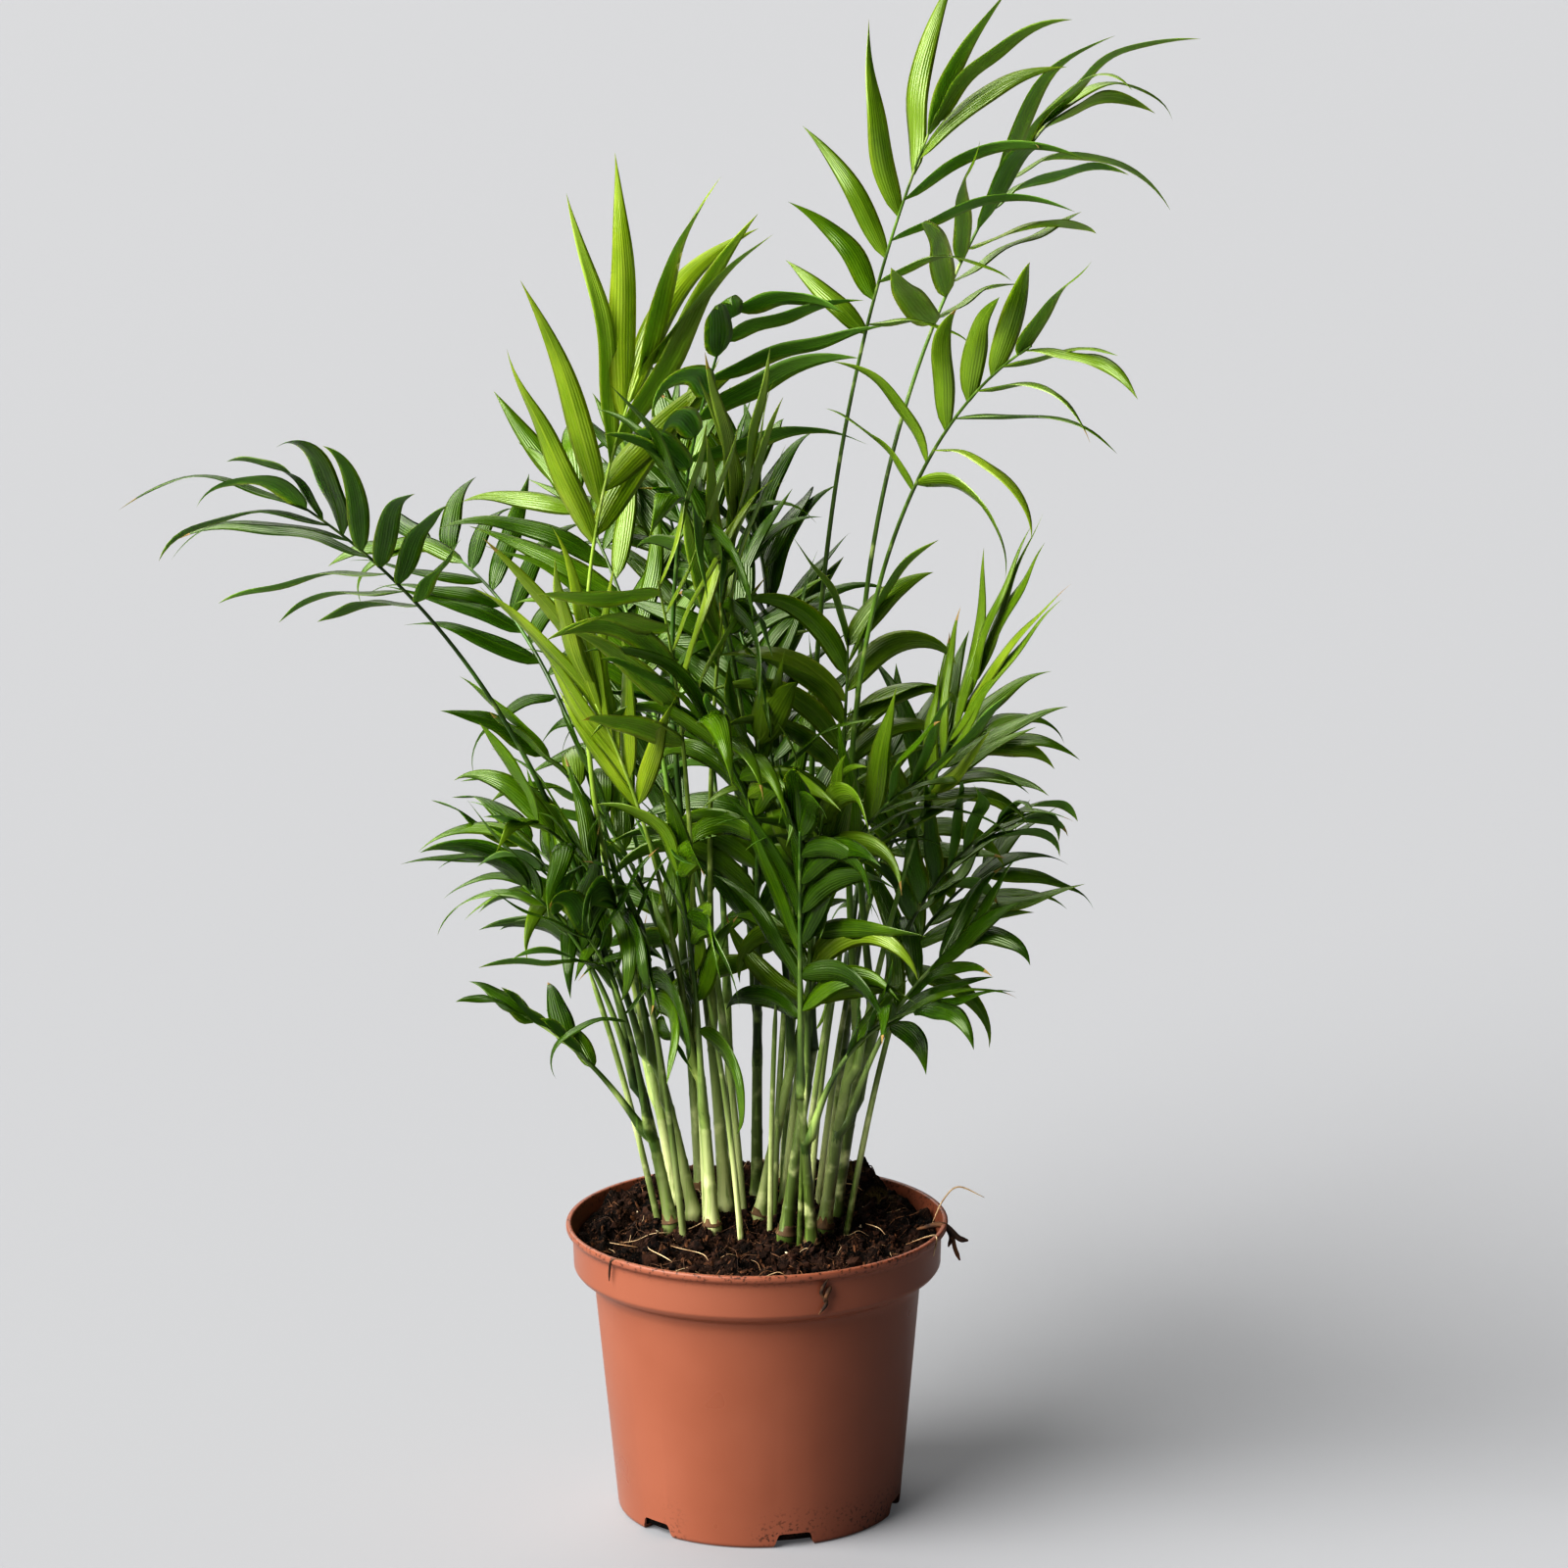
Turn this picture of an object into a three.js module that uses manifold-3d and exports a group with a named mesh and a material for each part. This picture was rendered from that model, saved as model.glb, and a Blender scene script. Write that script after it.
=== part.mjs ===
import * as THREE from "three";
import { mergeVertices } from "three/addons/utils/BufferGeometryUtils.js";
import Module from "manifold-3d";

// A parlour palm, Chamaedorea elegans, in its 12 cm plastic nursery pot.
// Millimetres and degrees, +Z up, +X to the right, +Y away from the front.
// The origin is the centre of the pot's flat underside.

const CLEARANCE = 0.3; // left between neighbours that touch

const POT_HEIGHT = 93;
const RIM_RADIUS = 60;
const BAND_RADIUS = 57.6; // the upright band under the lip
const BAND_FOOT = 78; // height of the band's lower edge
const WALL_TOP_RADIUS = 51.2;
const BASE_RADIUS = 44.8;
const WALL = 1.2;
const FLOOR = 1.6;
const POT_SIDES = 40;
const NOTCHES = 6;
const NOTCH_TURN = 14; // from the front towards the right
const NOTCH_WIDTH = 12.4; // at the foot
const NOTCH_TOP_WIDTH = 10;
const NOTCH_HEIGHT = 4.5;

const SOIL_EDGE = 86.4;
const SOIL_BACK = { height: 6, from: -15, to: 50 }; // it rises to the back
const SOIL_MOUND = 4;
const SOIL_RADIUS = 56;
const HEAP = { x: 34, y: 38, height: 10, radius: 11 };

const STEM_SIDES = 6;
const STEM_STEPS = 6;
const STEM_TIP_SHARE = 0.72; // a stem's tip radius over its foot radius
const FLARE = 0.45;
const FLARE_HEIGHT = 3;

const PATH_STEPS = 60;
const RACHIS_SIDES = 3;
const RACHIS_STEPS = 7;
const PETIOLE_RADIUS = 1.25;
const RACHIS_TIP_RADIUS = 0.7;
const LEAF_THICKNESS = 1;
const LEAF_PLACES = [0, 0.32, 0.68, 1]; // root, belly, shoulder and tip along a leaflet
const LEAF_WIDTHS = [0, 1, 0.7, 0]; // its width there over its greatest width
const END_PAIR = 0.985; // share of the rib where the end pair leaves it
const LEAF_STAGGER = 0.2; // of a pair's spacing, one side up and the other down

// Stems: foot x, foot y, direction turned from +X, lean from upright, length, foot radius.
const STEMS = [
  [-27, 1, 165, 11, 58, 1.95],
  [-26, 24, 160, 9, 62, 1.9],
  [-20, 9, 170, 12, 66, 1.9],
  [-18, 30, 120, 6, 70, 1.8],
  [-14, -3, 200, 3, 62, 2],
  [-10, 15, 180, 3, 74, 2.1],
  [-8, 33, 95, 8, 60, 1.8],
  [0, 22, 80, 3, 76, 1.9],
  [1, 5, 350, 11, 70, 1.95],
  [9, 13, 20, 6, 74, 1.9],
  [9, -11, 350, 7, 62, 2.1],
  [17, -17, 240, 6, 50, 1.8],
  [21, -5, 5, 8, 66, 2.1],
  [25, 10, 15, 9, 68, 1.9],
  [9, 35, 75, 9, 62, 1.8],
  [22, 29, 45, 10, 60, 1.8],
];

// How a frond grows. bare is the share of its limb without leaflets and width the width of a
// leaflet. Pairs of values are at its lowest and at its end pair: the angle between leaflet and
// rib, the arch of a level leaflet by its tip, its length over the longest. facing is how far a
// blade turns from level into the plane of the two rows, rise how far leaflets reach up and lift
// how far out of that plane. loose and sway are the spread of the arch and of the angle.
const TALL = {
  bare: 0.74, width: 7.5, angle: [60, 10], droop: [50, 108], size: [0.62, 0.95],
  facing: 0.4, rise: 0.06, lift: 0.2, loose: 20, sway: 7,
};
const WIDE = {
  bare: 0.75, width: 8.5, angle: [76, 12], droop: [0, 125], size: [0.82, 0.87],
  facing: 0.4, rise: 0.04, lift: -0.05, loose: 20, sway: 7,
};
const LOOSE = {
  bare: 0.7, width: 7, angle: [55, 12], droop: [115, 30], size: [0.72, 0.8],
  facing: 0.4, rise: 0, lift: 0.08, loose: 20, sway: 7,
};
const YOUNG = {
  bare: 0.72, width: 8.8, angle: [32, 12], droop: [5, 60], size: [0.8, 0.78],
  facing: 0.7, rise: 0.02, lift: 0.05, loose: 8, sway: 5,
};
const HALF = {
  bare: 0.61, width: 7.5, angle: [42, 56], droop: [46, 8], size: [0.9, 0.8],
  facing: 0.6, rise: 0.25, lift: 0.03, loose: 20, sway: 7,
};
const SPEAR = {
  bare: 0.7, width: 6, angle: [24, 8], droop: [10, 40], size: [0.62, 0.95],
  facing: 0.6, rise: 0.02, lift: 0.09, loose: 10, sway: 5,
};
const FAN = {
  bare: 0.74, width: 9, angle: [50, 24], droop: [48, 50], size: [0.99, 0.66],
  facing: 0.8, rise: 0, lift: -0.5, loose: 25, sway: 9,
};
const REACH = {
  bare: 0.76, width: 7.5, angle: [72, 15], droop: [30, 94], size: [0.62, 0.82],
  facing: 0.4, rise: 0.03, lift: 0, loose: 20, sway: 7,
};
const HANG = {
  bare: 0.52, width: 9.6, angle: [60, 28], droop: [115, 100], size: [0.85, 0.85],
  facing: 0.6, rise: 0.12, lift: 0.1, loose: 50, sway: 20,
};
const SPRAY = {
  bare: 0.52, width: 7, angle: [58, 20], droop: [70, 60], size: [0.9, 0.8],
  facing: 0.5, rise: 0.14, lift: 0.12, loose: 70, sway: 27,
};
const LOW = {
  bare: 0.5, width: 7, angle: [58, 20], droop: [70, 60], size: [0.9, 0.8],
  facing: 0.45, rise: 0.16, lift: 0.12, loose: 70, sway: 27,
};
const HEART = {
  bare: 0.28, width: 7.8, angle: [62, 24], droop: [60, 85], size: [0.95, 0.8],
  facing: 0.6, rise: 0.12, lift: 0.1, loose: 90, sway: 34,
};

// Fronds: stem, share of the stem where it leaves, direction turned from +X, lean from upright
// at its foot, arch added by its tip, length, pairs of leaflets, longest leaflet, growth, roll of
// the two rows about the rib.
const FRONDS = [
  // tall ones over the right of the crown
  [10, 1.0, 318, -1, 29, 283, 6, 57, TALL, -68],
  [14, 1.0, 13, -6, 44, 291, 7, 66, WIDE, -40],
  [13, 1.0, 305, -7, 71, 257, 6, 54, LOOSE, -62],
  // young erect ones over the middle
  [3, 1.0, 15, -15, 40, 213, 5, 80, YOUNG, -80],
  [6, 1.0, 318, -12, 41, 222, 5, 54, FAN, -20],
  [5, 1.0, 256, 0, 36, 160, 5, 60, HALF, 61],
  // long ones to the left
  [1, 1.0, 206, 14, 41, 216, 7, 65, REACH, 30],
  [2, 1.0, 125, 14, 74, 200, 7, 44, SPRAY, -20],
  [3, 0.75, 228, 10, 52, 106, 6, 44, SPRAY, -40],
  [1, 0.75, 210, 14, 36, 82, 5, 42, SPRAY, 25],
  [2, 0.75, 205, 14, 36, 76, 5, 40, LOW, -35],
  [1, 0.5, 240, 12, 36, 84, 4, 42, LOW, 50],
  [5, 0.8, 216, 8, 20, 128, 5, 68, SPEAR, 30],
  // low and middle ones to the right
  [13, 0.75, 343, 12, 12, 136, 5, 58, SPEAR, 60],
  [14, 0.75, 343, 11, 46, 92, 6, 41, SPRAY, -25],
  [11, 1.0, 337, -2, 60, 100, 5, 48, SPRAY, -45],
  [13, 0.5, 357, 17, 36, 72, 4, 40, LOW, 35],
  [16, 1.0, 25, 8, 52, 98, 7, 44, SPRAY, 45],
  // the dense middle
  [6, 0.78, 300, -3, 22, 168, 5, 62, SPEAR, 20],
  [9, 1.0, 340, 11, -10, 120, 6, 48, HANG, -50],
  [8, 1.0, 250, 2, 50, 178, 7, 55, HANG, -50],
  [10, 0.78, 118, 7, 36, 150, 7, 52, HEART, -30],
  [9, 0.78, 235, 4, 46, 128, 7, 50, HANG, -15],
  [11, 0.75, 281, 4, 30, 100, 6, 48, HEART, -55],
  [12, 1.0, 270, 3, 34, 96, 6, 46, HEART, -40],
  [5, 0.6, 258, 6, 36, 92, 6, 46, HEART, -55],
  [3, 0.55, 246, 10, 40, 84, 6, 42, HEART, -50],
  [8, 0.6, 272, 5, 30, 116, 7, 50, HEART, -15],
  [12, 0.7, 335, 16, 60, 62, 4, 38, LOW, -5],
  [1, 0.5, 180, 32, 30, 54, 3, 32, LOW, 0],
  // the back of the crown
  [15, 1.0, 102, 3, 50, 180, 7, 55, SPRAY, 35],
  [7, 1.0, 105, 6, 56, 185, 7, 55, SPRAY, -40],
  [4, 1.0, 122, 4, 52, 170, 7, 51, SPRAY, -30],
  [8, 0.8, 112, 8, 44, 185, 7, 55, SPRAY, -40],
  [16, 0.75, 76, 14, 66, 115, 6, 48, SPRAY, -20],
  [15, 0.75, 95, 14, 46, 122, 6, 50, HEART, 55],
  [7, 0.75, 122, 13, 42, 120, 6, 50, HEART, -55],
  [4, 0.7, 167, 9, 44, 105, 6, 46, HEART, -5],
  [2, 0.5, 130, 18, 60, 104, 5, 46, LOW, -10],
  [14, 0.5, 40, 16, 60, 92, 5, 45, LOW, 30],
  [16, 0.5, 75, 20, 62, 105, 5, 47, LOW, -60],
];

const PEAT = { name: "peat", color: 0x35251c, roughness: 0.95 };
const PLASTIC = { name: "terracotta plastic", color: 0xb06a50, roughness: 0.5 };
const STALK = { name: "pale green stalk", color: 0x8a9a4c, roughness: 0.55 };
const LEAF = { name: "leaf green", color: 0x3f6b21, roughness: 0.4 };

const wasm = await Module();
wasm.setup();

const rad = THREE.MathUtils.degToRad;
const UP = new THREE.Vector3(0, 0, 1);

// A repeatable number between -1 and 1 for a whole number.
function wobble(key) {
  const value = Math.sin(key * 12.9898) * 43758.5453;
  return 2 * (value - Math.floor(value)) - 1;
}

function heading(turn, lean) {
  const out = Math.sin(rad(lean));
  return new THREE.Vector3(out * Math.cos(rad(turn)), out * Math.sin(rad(turn)), Math.cos(rad(lean)));
}

// The points of a limb that leaves start at its lean and bends over by arch at its tip.
function limbPath(start, turn, lean, arch, length) {
  const points = [start.clone()];
  for (let i = 0; i < PATH_STEPS; i += 1) {
    const angle = lean + arch * ((i + 0.5) / PATH_STEPS) ** 1.5;
    const next = points[i].clone().addScaledVector(heading(turn, angle), length / PATH_STEPS);
    points.push(next);
  }
  return points;
}

function pointAt(path, share) {
  const place = THREE.MathUtils.clamp(share, 0, 1) * PATH_STEPS;
  const first = Math.min(Math.floor(place), PATH_STEPS - 1);
  return path[first].clone().lerp(path[first + 1], place - first);
}

function directionAt(path, share) {
  const first = Math.min(Math.floor(THREE.MathUtils.clamp(share, 0, 1) * PATH_STEPS), PATH_STEPS - 1);
  return path[first + 1].clone().sub(path[first]).normalize();
}

// The same place on the straight pieces that a limb of so many steps is made of.
function chordAt(path, share, steps) {
  const first = Math.min(Math.floor(share * steps), steps - 1);
  return pointAt(path, first / steps).lerp(pointAt(path, (first + 1) / steps), share * steps - first);
}

function toSolid(geometry) {
  const bare = geometry.clone();
  bare.deleteAttribute("normal");
  bare.deleteAttribute("uv");
  const merged = mergeVertices(bare, 1e-4);
  const vertProperties = new Float32Array(merged.attributes.position.array);
  const triVerts = new Uint32Array(merged.index.array);
  return new wasm.Manifold(new wasm.Mesh({ numProp: 3, vertProperties, triVerts }));
}

function toMesh(name, solid, look) {
  const found = solid.getMesh();
  const geometry = new THREE.BufferGeometry();
  geometry.setAttribute("position", new THREE.BufferAttribute(new Float32Array(found.vertProperties), 3));
  geometry.setIndex(new THREE.BufferAttribute(new Uint32Array(found.triVerts), 1));
  geometry.computeVertexNormals();
  const material = new THREE.MeshStandardMaterial({ ...look, metalness: 0, flatShading: true });
  const mesh = new THREE.Mesh(geometry, material);
  mesh.name = name;
  return mesh;
}

// Moves every vertex of a geometry to where place(vertex) says.
function reshape(geometry, place) {
  const position = geometry.attributes.position;
  const vertex = new THREE.Vector3();
  for (let i = 0; i < position.count; i += 1) {
    vertex.fromBufferAttribute(position, i);
    const moved = place(vertex);
    position.setXYZ(i, moved.x, moved.y, moved.z);
  }
  return geometry;
}

// A thin-walled pot turned from one profile: tapered wall, shoulder, upright band, rolled lip.
function potSolid() {
  const lip = POT_HEIGHT - 1.6;
  const profile = [
    [0, 0],
    [BASE_RADIUS - 1.2, 0],
    [BASE_RADIUS, 1.2],
    [WALL_TOP_RADIUS, BAND_FOOT - 5],
    [WALL_TOP_RADIUS + 1.1, BAND_FOOT - 2.6],
    [BAND_RADIUS - 1.2, BAND_FOOT - 0.4],
    [BAND_RADIUS, BAND_FOOT + 1.2],
    [BAND_RADIUS + 0.3, lip - 1.6],
    [RIM_RADIUS, lip],
    [RIM_RADIUS, POT_HEIGHT - 0.5],
    [RIM_RADIUS - 0.6, POT_HEIGHT],
    [RIM_RADIUS - 1.8, POT_HEIGHT],
    [BAND_RADIUS + 0.3 - WALL, lip - 1.6],
    [BAND_RADIUS - WALL, BAND_FOOT + 1.8],
    [WALL_TOP_RADIUS + 1.1 - WALL, BAND_FOOT - 1.4],
    [WALL_TOP_RADIUS - WALL, BAND_FOOT - 5],
    [BASE_RADIUS - WALL, FLOOR],
    [0, FLOOR],
  ];
  const points = profile.map(([radius, height]) => new THREE.Vector2(radius, height));
  const shell = new THREE.LatheGeometry(points, POT_SIDES).rotateX(Math.PI / 2);
  let pot = toSolid(shell);
  // Drain notches, spaced round the foot, are open through the wall and the edge of the floor.
  for (let i = 0; i < NOTCHES; i += 1) {
    const notch = new THREE.BoxGeometry(NOTCH_WIDTH, 16, NOTCH_HEIGHT + 1);
    notch.translate(0, -BASE_RADIUS, (NOTCH_HEIGHT - 1) / 2);
    const slanted = reshape(notch, (v) =>
      v.z > 0 ? new THREE.Vector3((v.x * NOTCH_TOP_WIDTH) / NOTCH_WIDTH, v.y, v.z) : v.clone(),
    );
    slanted.rotateZ(rad(NOTCH_TURN + (360 / NOTCHES) * i));
    pot = pot.subtract(toSolid(slanted));
  }
  return pot;
}

// Height of the peat: a low mound, lumpy towards the wall, with a heap at the back right.
function soilHeight(x, y) {
  const share = Math.hypot(x, y) / SOIL_RADIUS;
  const mound = SOIL_MOUND * (1 - share * share);
  const lumps = Math.sin(x * 0.31 + 1) * Math.cos(y * 0.27 + 0.4) * Math.max(0, share - 0.5) * 3.2;
  const away = Math.hypot(x - HEAP.x, y - HEAP.y) / HEAP.radius;
  const heap = HEAP.height * Math.exp(-away * away) * (1 - Math.min(share, 1) ** 8);
  const back = (SOIL_BACK.height * Math.max(0, y - SOIL_BACK.from)) / (SOIL_BACK.to - SOIL_BACK.from);
  return SOIL_EDGE + back + mound + lumps + heap;
}

function soilSolid() {
  const gap = WALL + CLEARANCE;
  const profile = [
    [0, FLOOR + CLEARANCE],
    [BASE_RADIUS - gap - 0.1, FLOOR + CLEARANCE],
    [WALL_TOP_RADIUS - gap - 0.1, BAND_FOOT - 5],
    [WALL_TOP_RADIUS + 0.9 - gap, BAND_FOOT - 1.2],
    [SOIL_RADIUS, BAND_FOOT + 3],
  ];
  const top = [1, 0.93, 0.82, 0.68, 0.5, 0.25, 0];
  top.forEach((share) => profile.push([SOIL_RADIUS * share, SOIL_EDGE]));
  const points = profile.map(([radius, height]) => new THREE.Vector2(radius, height));
  const turned = new THREE.LatheGeometry(points, 32).rotateX(Math.PI / 2);
  const lumpy = reshape(turned, (v) =>
    v.z > SOIL_EDGE - 1 ? new THREE.Vector3(v.x, v.y, soilHeight(v.x, v.y)) : v.clone(),
  );
  return toSolid(lumpy);
}

// A tapering limb along a path. Its first ring lies flat when footFlat is set.
function limbSolid(path, sides, steps, radiusAt, footFlat) {
  const tube = new THREE.CylinderGeometry(1, 1, 1, sides, steps);
  const across = new THREE.Vector3();
  const shaped = reshape(tube, (v) => {
    const share = v.y + 0.5;
    const along = footFlat && share < 1e-6 ? UP.clone() : directionAt(path, share);
    const lean = directionAt(path, 0.99);
    across.crossVectors(UP, lean).normalize();
    const other = new THREE.Vector3().crossVectors(along, across).normalize();
    const radius = radiusAt(share);
    return pointAt(path, share)
      .addScaledVector(across, v.x * radius)
      .addScaledVector(other, -v.z * radius);
  });
  return toSolid(shaped);
}

// A stem's flat foot stands just clear of the highest peat round it.
function footHeight(x, y, radius) {
  const sides = [0, 60, 120, 180, 240, 300].map(rad);
  const heights = sides.map((a) => soilHeight(x + radius * Math.cos(a), y + radius * Math.sin(a)));
  return Math.max(soilHeight(x, y), ...heights) + CLEARANCE + 0.25;
}

function makeStem([x, y, turn, lean, length, footRadius]) {
  const foot = new THREE.Vector3(x, y, footHeight(x, y, footRadius * (1 + FLARE)));
  const path = limbPath(foot, turn, lean, 4, length);
  const radiusAt = (share) => {
    const taper = 1 - (1 - STEM_TIP_SHARE) * share;
    return footRadius * (taper + FLARE * Math.exp((-share * length) / FLARE_HEIGHT));
  };
  const solid = limbSolid(path, STEM_SIDES, STEM_STEPS, radiusAt, true);
  return { path, radiusAt, solid, turn };
}

// How far a stem's six-sided surface is from its centre line towards a direction.
function sideOf(stem, share, turn) {
  const halfSide = 180 / STEM_SIDES;
  const past = THREE.MathUtils.euclideanModulo(turn - stem.turn, 2 * halfSide) - halfSide;
  return (stem.radiusAt(share) * Math.cos(rad(halfSide))) / Math.cos(rad(past));
}

// Where a frond's foot sits: over the stem's tip, or beside the stem with its flat side to it.
function frondFoot(stem, share, turn) {
  if (share >= 1) {
    const end = directionAt(stem.path, 1);
    return pointAt(stem.path, 1).addScaledVector(end, CLEARANCE + 0.3);
  }
  const beside = sideOf(stem, share, turn) + PETIOLE_RADIUS / 2 + CLEARANCE + 0.1;
  return pointAt(stem.path, share).addScaledVector(heading(turn, 90), beside);
}

// Whether a frond beside a stem leans out from it, and not into it.
function leavesStem(path, stem, share, turn) {
  const out = heading(turn, 90);
  return share >= 1 || directionAt(path, 0).dot(out) > directionAt(stem.path, 1).dot(out);
}

function petioleRadius(share) {
  return THREE.MathUtils.lerp(PETIOLE_RADIUS, RACHIS_TIP_RADIUS, share);
}

// Whether a new limb's path keeps off the limbs that are already there.
function hasRoom(path, others) {
  for (const other of others) {
    for (let j = 0; j <= PATH_STEPS; j += 1) {
      const reach = other.radiusAt(j / PATH_STEPS) + CLEARANCE;
      for (let i = 1; i <= PATH_STEPS; i += 1) {
        if (path[i].distanceTo(other.path[j]) < reach + petioleRadius(i / PATH_STEPS)) return false;
      }
    }
  }
  return true;
}

// A frond's limb, which has to lean out from its stem and keep off every earlier limb.
function placeFrond(row, number, stems, taken) {
  const [stemNumber, share, turn, lean, arch, length] = row;
  const stem = stems[stemNumber - 1];
  const path = limbPath(frondFoot(stem, share, turn), turn, lean, arch, length);
  const others = taken.filter((other) => other !== stem);
  if (!leavesStem(path, stem, share, turn) || !hasRoom(path, others)) {
    throw new Error(`no room for frond ${number}`);
  }
  return { path, radiusAt: petioleRadius, turn, row, number };
}

function rachisSolid(path) {
  return limbSolid(path, RACHIS_SIDES, RACHIS_STEPS, petioleRadius, false);
}

// The path of one leaflet and the upper side of its row. A leaflet leaves the rib sideways and
// forward and arches over, the more so the flatter it starts.
function leafletPath(frond, pair, side, nudge) {
  const [, , , , , , pairs, longest, growth, roll] = frond.row;
  const place = THREE.MathUtils.clamp((pair + side * LEAF_STAGGER) / (pairs - 1), 0, 1);
  const key = frond.number * 40 + pair * 2 + (side > 0 ? 1 : 0);
  const share = growth.bare + (END_PAIR - growth.bare) * place;
  const rib = directionAt(frond.path, share);
  const across = heading(frond.turn + 90, 90).applyAxisAngle(rib, rad(roll));
  const upper = new THREE.Vector3().crossVectors(rib, across);
  const opening = rad(THREE.MathUtils.lerp(...growth.angle, place) + growth.sway * wobble(key));
  const out = rib.clone().multiplyScalar(Math.cos(opening));
  out.addScaledVector(across, side * Math.sin(opening));
  out.addScaledVector(upper, growth.lift + 0.1 * wobble(key + 41));
  out.addScaledVector(UP, growth.rise + nudge + 0.15 * wobble(key + 13)).normalize();
  const turn = THREE.MathUtils.radToDeg(Math.atan2(out.y, out.x));
  const lean = THREE.MathUtils.radToDeg(Math.acos(out.z));
  const droop = THREE.MathUtils.lerp(...growth.droop, place) + growth.loose * wobble(key + 19);
  const sag = 0.25 + 0.75 * Math.sin(rad(lean));
  const size = THREE.MathUtils.lerp(...growth.size, place) + 0.2 * Math.sin(Math.PI * place);
  const length = longest * size * (1 + 0.1 * wobble(key + 7));
  const path = limbPath(chordAt(frond.path, share, RACHIS_STEPS), turn, lean, droop * sag, length);
  return { path, turn, upper };
}

// The direction across a blade: between level and the plane of the two rows of leaflets.
function acrossBlade(along, start, turn, upper, facing) {
  const level = heading(turn + 90, 90);
  const flat = new THREE.Vector3().crossVectors(upper, along).normalize();
  const same = new THREE.Vector3().crossVectors(upper, start).dot(level) < 0 ? -1 : 1;
  const across = level.multiplyScalar(same * (1 - facing)).addScaledVector(flat, facing);
  return across.addScaledVector(along, -across.dot(along)).normalize();
}

// One leaflet: a thin blade along its path, flat below and ridged above.
function leafletSolid(frond, pair, side, nudge) {
  const { path, turn, upper } = leafletPath(frond, pair, side, nudge);
  const { width, facing } = frond.row[8];
  const start = directionAt(path, 0);
  const acrossAt = (along) => acrossBlade(along, start, turn, upper, facing);
  const above = new THREE.Vector3().crossVectors(start, acrossAt(start)).dot(upper) < 0 ? -1 : 1;
  const blade = new THREE.SphereGeometry(1, 3, 3);
  const shaped = reshape(blade, (v) => {
    const station = Math.round(1.5 * (1 - v.y));
    const t = LEAF_PLACES[station];
    const swell = LEAF_WIDTHS[station];
    const along = directionAt(path, t);
    const across = acrossAt(along);
    const thin = new THREE.Vector3().crossVectors(along, across);
    const aside = Math.sign(Math.round(v.z * 4)) * swell;
    const ridge = v.x < 0 ? Math.min(swell * 2, 1) : 0;
    return pointAt(path, t)
      .addScaledVector(across, (aside * width) / 2)
      .addScaledVector(thin, ridge * above * LEAF_THICKNESS);
  });
  const solid = toSolid(shaped);
  return solid.volume() < 0 ? toSolid(flip(shaped)) : solid;
}

function flip(geometry) {
  const index = geometry.index.array;
  for (let i = 0; i < index.length; i += 3) {
    const kept = index[i];
    index[i] = index[i + 1];
    index[i + 1] = kept;
  }
  return geometry;
}

function boxesMeet(a, b) {
  return [0, 1, 2].every((k) => a.min[k] < b.max[k] + CLEARANCE && b.min[k] < a.max[k] + CLEARANCE);
}

function clears(solid, others) {
  const box = solid.boundingBox();
  return others.every(
    (other) => !boxesMeet(box, other.box) || solid.minGap(other.solid, CLEARANCE) >= CLEARANCE * 0.9,
  );
}

// Joins a frond's leaflets to its rachis. A leaflet that would touch another node is lifted
// or lowered to clear it, and left out where nothing clears.
function frondSolid(frond, others) {
  const pieces = [frond.limb];
  const pairs = frond.row[6];
  for (let pair = 0; pair < pairs; pair += 1) {
    for (const side of [-1, 1]) {
      for (const nudge of [0, 0.2, -0.2, 0.4, -0.4]) {
        const leaflet = leafletSolid(frond, pair, side, nudge);
        if (clears(leaflet, others)) {
          pieces.push(leaflet);
          break;
        }
      }
    }
  }
  return wasm.Manifold.union(pieces);
}

const group = new THREE.Group();
const twoDigits = (number) => String(number).padStart(2, "0");
const pot = potSolid();
const soil = soilSolid();
group.add(toMesh("pot", pot, PLASTIC));
group.add(toMesh("soil", soil, PEAT));

const stems = STEMS.map(makeStem);
stems.forEach((stem, i) => group.add(toMesh("stem_" + twoDigits(i + 1), stem.solid, STALK)));

const taken = [...stems];
const fronds = [];
FRONDS.forEach((row, i) => {
  const frond = placeFrond(row, i + 1, stems, taken);
  taken.push(frond);
  frond.limb = rachisSolid(frond.path);
  fronds.push(frond);
});

const nodes = [pot, soil, ...stems.map((stem) => stem.solid), ...fronds.map((frond) => frond.limb)];
const neighbours = nodes.map((solid) => ({ solid, box: solid.boundingBox() }));
const firstFrond = neighbours.length - fronds.length;
fronds.forEach((frond, i) => {
  const others = neighbours.filter((other, k) => k !== firstFrond + i);
  const solid = frondSolid(frond, others);
  neighbours[firstFrond + i] = { solid, box: solid.boundingBox() };
  group.add(toMesh("frond_" + twoDigits(frond.number), solid, LEAF));
});

export default group;
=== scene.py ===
import math
import random

import bmesh
import bpy
import numpy as np
from mathutils import Matrix, Vector, noise


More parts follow.
